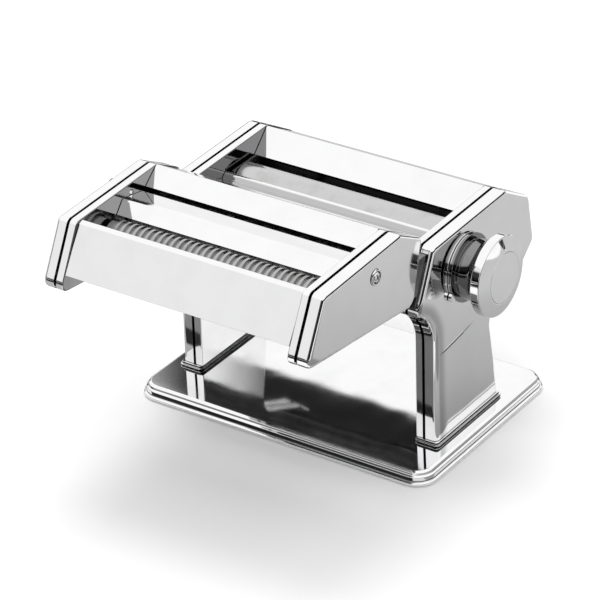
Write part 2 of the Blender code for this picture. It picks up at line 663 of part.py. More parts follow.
def bearing_block(side_name, side):
    """A plate that slides on the stand; the dial side's is longer, with an upright slot for the eccentric."""
    y, z = FRONT_ROLLER, ROLLER_HEIGHT
    half = JOURNAL_RADIUS + 4.5 * MM
    bar_low = SCRAPER_BAR[2]
    reach = DIAL_Y - ECCENTRIC_RADIUS - 4.0 * MM if side > 0 else y - half
    slot_half = ECCENTRIC_RADIUS + THROW + RUN
    low_edge = DIAL_Z - slot_half - 3.0 * MM if side > 0 else z - half
    bar_front, bar_rear = SCRAPER_BAR[0] - 2.0 * MM, SCRAPER_BAR[1] + 2.0 * MM
    outline = fillet([(reach, z + half + 1.0 * MM, 3.0 * MM), (y + half, z + half + 1.0 * MM, 5.0 * MM),
                      (y + half, z - half - 1.0 * MM, 2.0 * MM), (bar_rear, bar_low - 2.0 * MM, 1.5 * MM),
                      (bar_front, bar_low - 2.0 * MM, 1.5 * MM), (bar_front, low_edge - 0.5 * MM, 1.0 * MM),
                      (reach, low_edge, 3.0 * MM)])
    loops = [outline, circle((y, z), JOURNAL_RADIUS + RUN, 12)]
    if side > 0:
        loops.append(long_hole((DIAL_Y, DIAL_Z), ECCENTRIC_RADIUS + 0.3 * MM, slot_half, 16))
    start = HOLLOW_IN + FIT
    low, high = both_sides(start, start + BLOCK_THICKNESS, side)
    extruded(f"{side_name}_bearing_block", loops, low, high, PLAIN_STEEL, ROLLER_CARRIAGE, (y, z))


def rear_bush(side_name, side):
    """A flanged bush in the stand's hole for the rear roller's journal."""
    start = SPAN
    flange = HOLLOW_IN + FIT
    bore, outer = JOURNAL_RADIUS + 0.3 * MM, JOURNAL_RADIUS + 2.0 * MM
    profile = [(bore, flange + 1.6 * MM), (outer + 2.0 * MM, flange + 1.6 * MM), (outer + 2.0 * MM, flange),
               (outer, flange), (outer, start), (bore, start)]
    if side < 0:
        profile = [(radius, -x) for radius, x in reversed(profile)]
    turned(f"{side_name}_rear_bush", profile, Vector((side * start, REAR_ROLLER, ROLLER_HEIGHT)), 12,
           BUSH_PLASTIC, closed=True)


smooth_roller("front_smooth_roller", FRONT_ROLLER, LAYER_ONE + GEAR_WIDTH + 0.5 * MM, ROLLER_CARRIAGE)
smooth_roller("rear_smooth_roller", REAR_ROLLER, LAYER_TWO + GEAR_WIDTH + 0.3 * MM, MACHINE)
for side_name, side in SIDES:
    bearing_block(side_name, side)
    rear_bush(side_name, side)

AXLE_HOLE = circle((0, 0), JOURNAL_RADIUS + 1.2 * FIT, 10)
WHEEL_PITCH = DRIVE_CENTRES * WHEEL_TEETH / (WHEEL_TEETH + PINION_TEETH)
PINION_PITCH = DRIVE_CENTRES - WHEEL_PITCH
ADDENDUM, DEDENDUM = 1.15 * MM, 1.55 * MM


def gear(name, y, z, loops, layer, material, parent=MACHINE):
    low, high = both_sides(layer, layer + GEAR_WIDTH, -1)
    placed = [[Vector((point[0] + y, point[1] + z)) for point in loop] for loop in loops]
    return extruded(name, placed, low, high, material, parent, (y, z))


gear("front_roller_gear", FRONT_ROLLER, ROLLER_HEIGHT,
     [gear_outline(ROLLER_TEETH, GEAR_ROOT, GEAR_TIP, 0), AXLE_HOLE], LAYER_ONE, GEAR_STEEL, ROLLER_CARRIAGE)
HALF_TOOTH = math.pi / ROLLER_TEETH
gear("rear_roller_gear", REAR_ROLLER, ROLLER_HEIGHT,
     [gear_outline(ROLLER_TEETH, GEAR_ROOT, GEAR_TIP, math.pi + HALF_TOOTH), AXLE_HOLE], LAYER_ONE, GEAR_STEEL)
gear("drive_wheel", REAR_ROLLER, ROLLER_HEIGHT,
     [gear_outline(WHEEL_TEETH, WHEEL_PITCH - DEDENDUM, WHEEL_PITCH + ADDENDUM, DRIVE_ANGLE, 0.56, 0.20),
      AXLE_HOLE], LAYER_TWO, GEAR_STEEL)
gear("drive_pinion", CRANK_Y, CRANK_Z,
     [gear_outline(PINION_TEETH, PINION_PITCH - DEDENDUM, PINION_PITCH + ADDENDUM,
                   DRIVE_ANGLE + math.pi + math.pi / PINION_TEETH, 0.56, 0.20),
      circle((0, 0), CRANK_RADIUS + FIT, 12)], LAYER_TWO, GEAR_STEEL)


def socket_cutter(name, y, z, deep, out):
    """A square hole that the crank's end fits."""
    half = SOCKET_SIDE / 2
    return block(name, (-out, y - half, z - half), (-deep, y + half, z + half), None)


def make_crank_shaft():
    end = COVER_FACE - FIT
    profile = [(0, -SPAN), (JOURNAL_RADIUS, -SPAN), (JOURNAL_RADIUS, -LAYER_ONE), (CRANK_RADIUS, -LAYER_ONE),
               (CRANK_RADIUS, -end), (0, -end)]
    shaft = turned("crank_shaft", profile, Vector((-HOLLOW_OUT, CRANK_Y, CRANK_Z)), 16, PLAIN_STEEL)
    combine(shaft, socket_cutter("crank_socket", CRANK_Y, CRANK_Z, end - SOCKET_DEPTH, end + MM))


make_crank_shaft()


# Setting dial

def arc_slot(radius, half_width, turn):
    """An arc-shaped slot about the dial's axis, as far as the detent pin travels, above the axis."""
    steps = 12
    margin = (half_width + RUN) / radius
    angles = [math.pi / 2 - turn - margin + (2 * turn + 2 * margin) * k / steps for k in range(steps + 1)]
    outer = [(radius + half_width) * Vector((math.cos(a), math.sin(a))) for a in angles]
    inner = [(radius - half_width) * Vector((math.cos(a), math.sin(a))) for a in reversed(angles)]
    return [point + Vector((DIAL_Y, DIAL_Z)) for point in outer + inner]


def make_index_ring():
    """The ring on the cover that carries the dial; it has an ear for its screw and a slot for the pin."""
    seat = COVER_FACE + FIT
    spigot = ECCENTRIC_RADIUS + 2.7 * MM
    bore = DIAL_SHAFT_RADIUS + RUN
    back = HOLLOW_OUT - 0.5 * MM
    profile = [(bore, INDEX_FACE), (INDEX_STEP_RADIUS, INDEX_FACE),
               (INDEX_STEP_RADIUS, seat + INDEX_THICKNESS),
               (INDEX_RADIUS, seat + INDEX_THICKNESS), (INDEX_RADIUS, seat), (spigot, seat), (spigot, back),
               (bore, back)]
    ring = turned("index_ring", profile, Vector((seat, DIAL_Y, DIAL_Z)), 24, CHROME, closed=True)
    angle = math.radians(212)
    ear = (DIAL_Y + INDEX_RADIUS * math.cos(angle), DIAL_Z + INDEX_RADIUS * math.sin(angle))
    lug = cylinder("index_ear", ear, 3.2 * MM, seat + 0.1 * MM, seat + INDEX_THICKNESS - 0.2 * MM, 10)
    combine(ring, lug, "UNION")
    slot = arc_slot(DETENT_CIRCLE, DETENT_RADIUS + RUN, DIAL_TURN)
    combine(ring, extruded("detent_slot", [slot], INDEX_FACE - 3.2 * MM, INDEX_FACE + MM, None))


SHAFT_HEAD = KNOB_RIM_FACE - 4.0 * MM
WEB = KNOB_BACK + 3.4 * MM
CAVITY = DETENT_CIRCLE - DETENT_RADIUS - 1.6 * MM


def make_dial_shaft():
    start = HOLLOW_IN + 2 * FIT
    head = SHAFT_HEAD + 1.5 * MM
    radius = DIAL_SHAFT_RADIUS
    flange = CAVITY - 2.5 * MM
    profile = [(0, head), (flange, head), (flange, SHAFT_HEAD), (radius, SHAFT_HEAD), (radius, start),
               (0, start)]
    shaft = turned("dial_shaft", profile, Vector((start, DIAL_Y, DIAL_Z)), 16, PLAIN_STEEL)
    disc = cylinder("eccentric", (DIAL_Y, DIAL_Z + THROW), ECCENTRIC_RADIUS, start - 0.1 * MM,
                    start + BLOCK_THICKNESS - 0.2 * MM, 16)
    combine(shaft, disc, "UNION")


def make_knob():
    """A flared knob with a bevelled rim, drilled from the front for the spring and closed by its cap."""
    neck_end = KNOB_BACK + KNOB_NECK_LENGTH
    bore = DIAL_SHAFT_RADIUS + RUN
    seat = KNOB_FACE - 1.7 * MM
    cap_hole = KNOB_FACE_RADIUS - 1.5 * MM
    profile = [(cap_hole, KNOB_FACE), (KNOB_FACE_RADIUS, KNOB_FACE), (KNOB_RADIUS, KNOB_RIM_FACE),
               (KNOB_RADIUS, KNOB_SHOULDER), (KNOB_NECK, neck_end),
               (KNOB_NECK, KNOB_BACK), (bore, KNOB_BACK), (bore, WEB), (CAVITY, WEB), (CAVITY, seat),
               (cap_hole, seat)]
    knob = turned("dial_knob", profile, Vector((KNOB_BACK, DIAL_Y, DIAL_Z)), KNOB_SIDES, CHROME, KNOB_FRAME,
                  closed=True)
    pin = cylinder("detent_pin", (DIAL_Y, DIAL_Z + DETENT_CIRCLE), DETENT_RADIUS, INDEX_FACE - 2.6 * MM,
                   KNOB_BACK + 1.0 * MM, 10)
    combine(knob, pin, "UNION")
    slope = math.atan2(KNOB_DOME, KNOB_RADIUS - KNOB_FACE_RADIUS)
    middle = (KNOB_RADIUS + KNOB_FACE_RADIUS) / 2
    mark = fillet([(-2.5 * MM, 3.2 * MM, 0.3 * MM), (0, -3.4 * MM, 0.3 * MM), (2.5 * MM, 3.2 * MM, 0.3 * MM)])
    centre = Vector((KNOB_RIM_FACE + KNOB_DOME / 2, DIAL_Y, DIAL_Z + middle))
    tilt = Matrix.Rotation(-slope, 4, "Y") @ ACROSS
    notch = extruded("pointer_notch", [mark], -0.7 * MM, 0.7 * MM, None, turn=tilt, centre=centre)
    combine(knob, notch)
    cap_radius = cap_hole - FIT
    cap_back = seat + FIT
    turned("dial_cap", [(0, KNOB_FACE), (cap_radius, KNOB_FACE), (cap_radius, cap_back), (0, cap_back)],
           Vector((cap_back, DIAL_Y, DIAL_Z)), KNOB_SIDES, CHROME, KNOB_FRAME)


def make_spring():
    """The coil that pulls the knob's pin home, between the knob's web and the shaft's head, at rest."""
    radius = DIAL_SHAFT_RADIUS + RUN + SPRING_WIRE
    start = WEB + FIT + SPRING_WIRE / 2
    length = SHAFT_HEAD - FIT - SPRING_WIRE / 2 - start
    per_turn = 8
    count = int(SPRING_TURNS * per_turn) + 1
    curve = bpy.data.curves.new("dial_spring_curve", "CURVE")
    curve.dimensions = "3D"
    curve.bevel_depth = SPRING_WIRE / 2
    curve.bevel_resolution = 0
    curve.use_fill_caps = True
    spline = curve.splines.new("POLY")
    spline.points.add(count - 1)
    for k, point in enumerate(spline.points):
        angle = 2 * math.pi * k / per_turn
        point.co = (start + length * k / (count - 1), radius * math.cos(angle), radius * math.sin(angle), 1)
    coil = bpy.data.objects.new("dial_spring_wire", curve)
    bpy.context.scene.collection.objects.link(coil)
    bpy.context.view_layer.update()
    mesh = bpy.data.meshes.new_from_object(coil.evaluated_get(bpy.context.evaluated_depsgraph_get()))
    work = bmesh.new()
    work.from_mesh(mesh)
    bmesh.ops.remove_doubles(work, verts=work.verts, dist=0.001 * MM)
    bmesh.ops.recalc_face_normals(work, faces=work.faces)
    work.to_mesh(mesh)
    work.free()
    bpy.data.objects.remove(coil, do_unlink=True)
    spring = bpy.data.objects.new("dial_spring", mesh)
    bpy.context.scene.collection.objects.link(spring)
    spring.matrix_world = Matrix.Translation((0, DIAL_Y, DIAL_Z))
    keep(spring, GEAR_STEEL, MACHINE)


make_index_ring()
make_dial_shaft()
make_knob()
make_spring()


# Rails on the body and hooks on the head, both along the slanted front of the body

FRONT_RUN = Vector((BODY_FRONT_TOP - BODY_FRONT_LOW[0], BODY_TOP - BODY_FRONT_LOW[1]))
FRONT_LEAN = math.atan2(FRONT_RUN.x, FRONT_RUN.y)
ALONG_FRONT = Matrix.Rotation(-FRONT_LEAN, 4, "X")


def front_y(height, away):
    """The y of a point at this height that stands this far in front of the body's slanted front."""
    along = (height - BODY_FRONT_LOW[1]) * math.tan(FRONT_LEAN)
    return BODY_FRONT_LOW[0] + along - away / math.cos(FRONT_LEAN)


def rail_section(grow):
    """The base strip on the body, then the web, then the flange; grow is the slot's clearance."""
    base, web, flange = RAIL_BASE / 2, RAIL_WEB / 2 + grow, RAIL_FLANGE / 2 + grow
    first = -(FIT + RAIL_SHEET)
    second = first - RAIL_STAND_OFF + grow
    third = second - RAIL_SHEET - 2 * grow
    if grow:
        half = [(web, MM), (web, second), (flange, second), (flange, third)]
    else:
        half = [(base, -FIT), (base, first), (web, first), (web, second), (flange, second),
                (flange, third)]
    return [Vector(point) for point in half] + [Vector((-x, y)) for x, y in reversed(half)]


def make_rail(side_name, side):
    centre = Vector((side * RAIL_X, front_y(RAIL_LOW, 0), RAIL_LOW))
    length = (RAIL_HIGH - RAIL_LOW) / math.cos(FRONT_LEAN)
    extruded(f"{side_name}_head_rail", [rail_section(0)], 0, length, CHROME, turn=ALONG_FRONT, centre=centre)


def head_rear_y(height):
    share = (height - HEAD_REAR_LOW[1]) / (HEAD_SHOULDER[1] - HEAD_REAR_LOW[1])
    return HEAD_REAR_LOW[0] + share * (HEAD_SHOULDER[0] - HEAD_REAR_LOW[0]) + 1.2 * FIT


def make_hook(side_name, side):
    away = FIT + RAIL_SHEET + RUN
    outline = [(head_rear_y(HOOK_LOW), HOOK_LOW), (front_y(HOOK_LOW, away), HOOK_LOW),
               (front_y(HOOK_HIGH, away), HOOK_HIGH), (head_rear_y(HOOK_HIGH), HOOK_HIGH)]
    low, high = both_sides(RAIL_X - HOOK_HALF_WIDTH, RAIL_X + HOOK_HALF_WIDTH, side)
    hook = extruded(f"{side_name}_head_hook", [outline], low, high, CHROME, CUTTER_HEAD)
    centre = Vector((side * RAIL_X, front_y(RAIL_LOW, 0), RAIL_LOW))
    length = (RAIL_HIGH - RAIL_LOW) / math.cos(FRONT_LEAN)
    slot = extruded(f"{side_name}_hook_slot", [rail_section(RUN)], 0, length + FIT, None, turn=ALONG_FRONT,
                    centre=centre)
    combine(hook, slot)


for side_name, side in SIDES:
    make_rail(side_name, side)
    make_hook(side_name, side)


# Cutter head: its two stands, bent plates, cutting rollers, gears and combs

PAIRS = (("front", FRONT_NIP, NARROW_CUT, 1), ("rear", REAR_NIP, WIDE_CUT, -1))


def cutter_axes(nip):
    return (nip - CUTTER_CENTRES / 2, nip + CUTTER_CENTRES / 2)


DRIVEN = {"front": 1, "rear": 0}       # which roller of each pair takes the crank
DRIVE_HUB = 5.0 * MM


def make_head_side(side_name, side):
    plate = tray(f"{side_name}_head_plate", head_outline(), side * INNER_FACE, side * TRAY_RIM, TRAY_SHEET,
                 TRAY_EDGE, CHROME, CUTTER_HEAD)
    cover = tray(f"{side_name}_head_cover", head_outline(), side * COVER_FACE, side * COVER_RIM, COVER_SHEET,
                 COVER_EDGE, CHROME, CUTTER_HEAD)
    low, high = both_sides(INNER_FACE - MM, HOLLOW_IN + MM, side)
    out_low, out_high = both_sides(HOLLOW_OUT - MM, COVER_FACE + MM, side)
    for pair, nip, cut, lead in PAIRS:
        for index, y in enumerate(cutter_axes(nip)):
            drill(plate, (y, CUTTER_HEIGHT), CUTTER_JOURNAL + FIT, low, high, 10)
            if side < 0 and index == DRIVEN[pair]:
                drill(cover, (y, CUTTER_HEIGHT), DRIVE_HUB + RUN, out_low, out_high, 12)
    place = RIGHT_SCREW if side > 0 else LEFT_SCREW
    drill(plate, place, SCREW_SHANK_RADIUS + FIT, low, high, 8)
    drill(cover, place, SCREW_SHANK_RADIUS + FIT, out_low, out_high, 8)
    head, rim = COVER_FACE + FIT + 1.3 * MM, COVER_FACE + FIT
    profile = [(0, head), (0.7 * SCREW_HEAD_RADIUS, head), (SCREW_HEAD_RADIUS, rim + 0.4 * MM),
               (SCREW_HEAD_RADIUS, rim), (SCREW_SHANK_RADIUS, rim), (SCREW_SHANK_RADIUS, INNER_FACE + FIT),
               (0, INNER_FACE + FIT)]
    if side < 0:
        profile = [(radius, -x) for radius, x in reversed(profile)]
    turned(f"{side_name}_head_screw", profile, Vector((side * rim, *place)), 12, PLAIN_STEEL, CUTTER_HEAD)


def make_head_plates():
    upper = FRONT_PLATE_TOP
    front = strip([FRONT_PLATE_LOW, (*upper, 0.8 * MM), (upper[0] + 3.2 * MM, upper[1] + 0.9 * MM, 0.8 * MM),
                   (upper[0] + 4.3 * MM, upper[1] - 3.2 * MM)], HEAD_SHEET)
    extruded("head_front_plate", [front], -SPAN, SPAN, CHROME, CUTTER_HEAD)
    crest = (REAR_NIP - 20.5 * MM, CUTTER_HEIGHT + 15.0 * MM)
    divider = strip([(REAR_NIP - 1.7 * MM, crest[1] - 7.0 * MM),
                     (REAR_NIP - 1.3 * MM, crest[1] - 3.2 * MM, 1.0 * MM),
                     (*crest, 1.5 * MM), (crest[0] - 6.4 * MM, crest[1] - 7.4 * MM)], HEAD_SHEET)
    extruded("head_divider", [divider], -SPAN, SPAN, CHROME, CUTTER_HEAD)
    guard = strip([(REAR_NIP + 2.2 * MM, CUTTER_HEIGHT + 13.2 * MM),
                   (HEAD_TOP_REAR[0] - 0.2 * MM, HEAD_TOP_REAR[1] - 0.4 * MM, 1.0 * MM),
                   (HEAD_SHOULDER[0] - 1.9 * MM, HEAD_SHOULDER[1] - 0.4 * MM, 4.0 * MM),
                   (HEAD_REAR_LOW[0] - 1.6 * MM, HEAD_REAR_LOW[1] + 3.0 * MM)], HEAD_SHEET)
    extruded("head_rear_guard", [guard], -SPAN, SPAN, CHROME, CUTTER_HEAD)


def cut_centres(cut, shifted):
    """Where along X one roller of a pair has its discs; the other's are half a step on."""
    step = 2 * cut
    half_count = int((ROLLER_HALF - 1.2 * cut) / step)
    shift = cut if shifted else 0
    places = [k * step + shift for k in range(-half_count, half_count + 1)]
    return [x for x in places if abs(x) + cut / 2 < ROLLER_HALF]


def cutting_roller(name, y, cut, shifted, sides):
    """A grooved roller: discs as wide as one noodle, which run in the grooves of its partner."""
    groove = CUTTER_CENTRES - CUTTER_RADIUS - 0.7 * MM
    half_disc = cut / 2 - 0.2 * MM
    end = HEAD_LAYER + GEAR_WIDTH
    face = ROLLER_HALF + 1.6 * MM
    far_end = HOLLOW_IN + 1.5 * MM
    profile = [(0, far_end), (CUTTER_JOURNAL, far_end), (CUTTER_JOURNAL, face), (groove, face)]
    for x in reversed(cut_centres(cut, shifted)):
        profile += [(groove, x + half_disc), (CUTTER_RADIUS, x + half_disc), (CUTTER_RADIUS, x - half_disc),
                    (groove, x - half_disc)]
    profile += [(groove, -face), (CUTTER_JOURNAL, -face), (CUTTER_JOURNAL, -end), (0, -end)]
    turned(name, profile, Vector((0, y, CUTTER_HEIGHT)), sides, GEAR_STEEL, CUTTER_HEAD)


def comb(name, y, cut, shifted, lean):
    """A comb of flat teeth that reach into the grooves from below and lift the noodles out."""
    groove = CUTTER_CENTRES - CUTTER_RADIUS - 0.7 * MM
    tip = groove + 0.5 * MM
    root = CUTTER_RADIUS + 0.8 * MM
    low = CUTTER_RADIUS + 7.0 * MM
    grooves = [x + cut for x in cut_centres(cut, shifted)]
    half_tooth = max(0.45 * MM, cut / 2 - 0.75 * MM)
    outline = [Vector((SPAN, -low)), Vector((SPAN, -root))]
    for x in reversed([x for x in grooves if abs(x) + cut < ROLLER_HALF]):
        tips = [Vector((x, -tip))]
        if cut > 3 * MM:
            tips = [Vector((x + half_tooth, -tip)), Vector((x - half_tooth, -tip))]
        outline += [Vector((x + half_tooth, -root)), *tips, Vector((x - half_tooth, -root))]
    outline += [Vector((-SPAN, -root)), Vector((-SPAN, -low))]
    turn = Matrix.Rotation(lean, 4, "X") @ Matrix.Rotation(math.pi / 2, 4, "X")
    extruded(name, [outline], -0.4 * MM, 0.4 * MM, PLAIN_STEEL, CUTTER_HEAD, turn=turn,
             centre=Vector((0, y, CUTTER_HEIGHT)))


def head_gear(name, y, phase, driven):
    pitch = CUTTER_CENTRES / 2
    low, high = both_sides(HEAD_LAYER, HEAD_LAYER + GEAR_WIDTH, -1)
    outline = [point + Vector((y, CUTTER_HEIGHT))
               for point in gear_outline(CUTTER_TEETH, pitch - 1.45 * MM, pitch + 1.05 * MM, phase, 0.54, 0.20)]
    hole = circle((y, CUTTER_HEIGHT), CUTTER_JOURNAL + FIT, 8)
    wheel = extruded(name, [outline, hole], low, high, GEAR_STEEL, CUTTER_HEAD, (y, CUTTER_HEIGHT))
    if driven:
        end = COVER_FACE - FIT
        hub = cylinder(name + "_hub", (y, CUTTER_HEIGHT), DRIVE_HUB, -end, low + 0.5 * MM, 12)
        combine(wheel, hub, "UNION")
        bore = cylinder(name + "_bore", (y, CUTTER_HEIGHT), CUTTER_JOURNAL + FIT, low - FIT, high + MM, 8)
        combine(wheel, bore)
        combine(wheel, socket_cutter(name + "_socket", y, CUTTER_HEIGHT, end - SOCKET_DEPTH, end + MM))


make_head_plates()
for side_name, side in SIDES:
    make_head_side(side_name, side)
for pair, nip, cut, lead in PAIRS:
    sides = CUTTER_SIDES
    for index, y in enumerate(cutter_axes(nip)):
        place = ("leading", "trailing")[index]
        cutting_roller(f"{pair}_{place}_cutter", y, cut, index == 1, sides)
        comb(f"{pair}_{place}_comb", y, cut, index == 1, math.radians((-20, 20)[index]))
        phase = 0 if index == 0 else math.pi + math.pi / CUTTER_TEETH
        head_gear(f"{pair}_{place}_cutter_gear", y, phase, DRIVEN[pair] == index)
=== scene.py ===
# %% [markdown]
# # A chromed, hand-cranked pasta machine
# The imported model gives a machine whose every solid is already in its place. This lesson dresses it:
# pressed and polished sheet with soft edges, ground rollers, cross-headed screws and a studio to see them
# in. All the working sizes are in millimetres from the middle of the machine, and y = 0 is its base's
# front edge. The rollers give the height of everything near them: NIP is where the rear guide's lip ends
# over the rollers, and BEAD is the top of the front guide's rolled edge.

import json
import math

import bmesh
import bpy
from mathutils import Matrix, Vector

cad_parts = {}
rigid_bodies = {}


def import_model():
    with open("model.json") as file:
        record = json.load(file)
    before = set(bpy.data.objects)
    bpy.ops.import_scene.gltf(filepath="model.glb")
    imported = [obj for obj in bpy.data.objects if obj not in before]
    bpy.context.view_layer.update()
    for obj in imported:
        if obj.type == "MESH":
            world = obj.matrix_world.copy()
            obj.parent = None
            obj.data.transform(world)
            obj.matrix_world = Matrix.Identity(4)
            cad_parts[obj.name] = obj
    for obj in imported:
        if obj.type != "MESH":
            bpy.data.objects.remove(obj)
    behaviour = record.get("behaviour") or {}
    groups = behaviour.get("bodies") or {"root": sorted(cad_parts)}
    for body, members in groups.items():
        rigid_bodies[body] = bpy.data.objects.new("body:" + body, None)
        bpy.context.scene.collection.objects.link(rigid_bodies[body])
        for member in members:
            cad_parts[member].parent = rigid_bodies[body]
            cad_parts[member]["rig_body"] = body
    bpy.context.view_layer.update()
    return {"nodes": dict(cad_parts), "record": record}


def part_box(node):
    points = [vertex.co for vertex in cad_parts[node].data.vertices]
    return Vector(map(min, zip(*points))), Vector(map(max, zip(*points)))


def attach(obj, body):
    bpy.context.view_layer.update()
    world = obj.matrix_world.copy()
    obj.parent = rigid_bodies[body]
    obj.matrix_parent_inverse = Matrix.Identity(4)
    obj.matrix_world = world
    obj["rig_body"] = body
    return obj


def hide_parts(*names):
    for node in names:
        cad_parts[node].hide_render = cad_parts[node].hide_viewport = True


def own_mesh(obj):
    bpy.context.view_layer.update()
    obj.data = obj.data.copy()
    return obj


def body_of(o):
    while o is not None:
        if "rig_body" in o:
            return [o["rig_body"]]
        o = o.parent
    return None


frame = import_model()
MM = 0.001
BASE_HALF, BASE_DEPTH, BASE_TOP, RIM_FOOT = 107.5, 145.0, 9.2, 1.0
INNER, TRAY_RIM, COVER_RIM, COVER_FACE = 79.5, 84.3, 86.2, 94.2
ROLLER_Z, REAR_Y, FRONT_Y = 120.0, 114.0, 83.35
NIP = (REAR_Y - 13.8, ROLLER_Z + 12.1)
BEAD = (FRONT_Y - 11.2, ROLLER_Z + 13.2)
SIDES = (("left", -1), ("right", 1))
base_low, base_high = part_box("base_pan")
SHIFT = Vector((base_low.x + BASE_HALF * MM, base_low.y, 0))
print("the base is", [round(v / MM, 1) for v in base_high - base_low], "mm; the middle lies at", SHIFT / MM)

# %% [markdown]
# A photograph's angle is part of its likeness. The camera was worked out from the edges that run parallel
# on the machine: it looks down from the front right through a long lens, so that parallel edges hardly
# converge. Its place is given from the middle of the machine, and its three directions as the columns of
# a turn.

# %% The camera
camera = bpy.data.objects.new("camera", bpy.data.cameras.new("camera"))
bpy.context.scene.collection.objects.link(camera)
RIGHT = Vector((0.8234440258, 0.5660491773, -0.0390930337))
UP = Vector((-0.2530842213, 0.4280846318, 0.8675781953))
AHEAD = Vector((-0.5078270506, 0.7045082518, -0.4957618478))
PLACE = Vector((1.04468076, -1.41813203, 1.10488046))
turn = Matrix((RIGHT, UP, -AHEAD)).transposed().to_4x4()
camera.matrix_world = Matrix.Translation(PLACE + SHIFT) @ turn
camera.data.lens = 204.66
camera.data.sensor_width = 36
camera.data.clip_end = 60
bpy.context.scene.camera = camera
bpy.context.scene.view_settings.view_transform = "Standard"
print("the camera is", round(camera.location.length, 2), "m from the origin")

# %% [markdown]
# Shader maths reads best as plain expressions. This small class wraps a socket, so that `1 - grain * 0.2`
# adds its own Math nodes, and its one method makes any other node from its settings and its inputs.

# %% A socket that can be added and multiplied
class Signal:
    """A socket in a node tree, which Python's operators turn into Math nodes."""

    def __init__(self, tree, socket=None):
        self.tree, self.socket = tree, socket

    def node(self, kind, settings=None, inputs=None, output=0):
        """Add a node: its settings first, then the values or links of its inputs; one output comes back."""
        made = self.tree.nodes.new(kind)
        for name, value in (settings or {}).items():
            if name == "stops":
                ramp = made.color_ramp
                while len(ramp.elements) < len(value):
                    ramp.elements.new(0.5)
                for stop, (place, shade) in zip(ramp.elements, value):
                    stop.position = place
                    stop.color = (shade, shade, shade, 1)
            else:
                setattr(made, name, value)
        for name, value in (inputs or {}).items():
            if isinstance(value, Signal):
                self.tree.links.new(value.socket, made.inputs[name])
            else:
                made.inputs[name].default_value = value
        return Signal(self.tree, made.outputs[output])

    def maths(self, kind, first, second):
        return self.node("ShaderNodeMath", {"operation": kind}, {0: first, 1: second})

    def __add__(self, other):
        return self.maths("ADD", self, other)

    def __sub__(self, other):
        return self.maths("SUBTRACT", self, other)

    def __rsub__(self, other):
        return self.maths("SUBTRACT", other, self)

    def __mul__(self, other):
        return self.maths("MULTIPLY", self, other)

    def __gt__(self, other):
        return self.maths("GREATER_THAN", self, other)

    def __pow__(self, other):
        return self.maths("POWER", self, other)

    __radd__, __rmul__ = __add__, __mul__


def new_finish(name):
    """An empty Principled material: its tree to draw in, and its shader."""
    material = bpy.data.materials.new(name)
    material.use_nodes = True
    return material, Signal(material.node_tree), material.node_tree.nodes["Principled BSDF"]


def connect(tree, signal, socket):
    """Lead a signal into one of a shader's own sockets."""
    tree.tree.links.new(signal.socket, socket)


def xyz(place):
    """The three parts of a place or a direction."""
    return [place.node("ShaderNodeSeparateXYZ", None, {"Vector": place}, output=k) for k in range(3)]


def between(value, low, high):
    """0 below low, 1 above high, and a soft step between them."""
    return value.node("ShaderNodeMapRange", {"interpolation_type": "SMOOTHSTEP"},
                      {"Value": value, "From Min": low, "From Max": high})


def line_at(value, middle, width):
    """1 in the middle of a soft line across value, and 0 from width on."""
    return (1 - between(value, middle, middle + width)) * between(value, middle - width, middle)


print("the socket class is ready")

# %% [markdown]
# Chrome plate is a mirror that is never quite perfect. The pressed sheet under it rolls very slightly,
# which bends long reflections; wiping leaves a faint haze in patches; and fine polishing lines catch the
# light. Each of these is a noise at its own scale: two feed a very weak bump, and two feed the roughness.

# %% Mirror chrome
def chrome_finish(name, haze=0.03, roll=0.05, painted_shade_of=None, press_of=None):
    """Polished plate; painted_shade_of gives the painted shade at a place (0 to 1), press_of a height in
    metres.
    """
    material, tree, shader = new_finish(name)
    colour, worn = 0.91, 0.88
    place = tree.node("ShaderNodeTexCoord", output=3)
    sheet = tree.node("ShaderNodeTexNoise", None, {"Vector": place, "Scale": 26.0, "Detail": 1.0})
    wiped = tree.node("ShaderNodeTexNoise", None, {"Vector": place, "Scale": 60.0, "Detail": 5.0})
    patches = tree.node("ShaderNodeValToRGB", {"stops": ((0.42, 0.0), (0.72, 1.0))}, {"Fac": wiped})
    long_way = tree.node("ShaderNodeMapping", None, {"Vector": place, "Scale": (180.0, 1400.0, 1400.0)})
    lines = tree.node("ShaderNodeTexNoise", None, {"Vector": long_way, "Scale": 1.0, "Detail": 3.0})
    connect(tree, 0.035 + patches * haze + lines * 0.02, shader.inputs["Roughness"])
    shade = tree.node("ShaderNodeMix", {"data_type": "RGBA"}, {
        "Factor": patches, 6: (colour, colour, colour * 1.004, 1),
        7: (worn, worn, worn + 0.003, 1)}, output=2)
    # Painted shade: where the mask is high, the plate's colour goes towards near black.
    if painted_shade_of:
        shade = tree.node("ShaderNodeMix", {"data_type": "RGBA"}, {
            "Factor": painted_shade_of(place), 6: shade, 7: (0.10, 0.10, 0.105, 1)}, output=2)
    connect(tree, shade, shader.inputs["Base Color"])
    shader.inputs["Metallic"].default_value = 1.0
    bump = tree.node("ShaderNodeBump", None, {"Strength": roll, "Distance": 0.004, "Height": sheet})
    if press_of:
        bump = tree.node("ShaderNodeBump", None, {
            "Strength": 1.0, "Distance": 1.0, "Height": press_of(place), "Normal": bump})
    fine = tree.node("ShaderNodeBump", None, {
        "Strength": 0.02, "Distance": 0.0002, "Height": lines, "Normal": bump})
    connect(tree, fine, shader.inputs["Normal"])
    return material


def in_mm(place):
    """A place in millimetres: how far it is to either side of the middle, its y and its z."""
    x, y, z = xyz(place)
    x = x * 1000 - SHIFT.x / MM
    return (x * x) ** 0.5, y * 1000 - SHIFT.y / MM, z * 1000


# The masks below are painted shade: each one darkens the chrome's colour in set places.
def inside_of_wall(side):
    """1 on the inner face of a side wall, and 0 behind it."""
    return 1 - between(side, INNER + 0.1, INNER + 0.6)


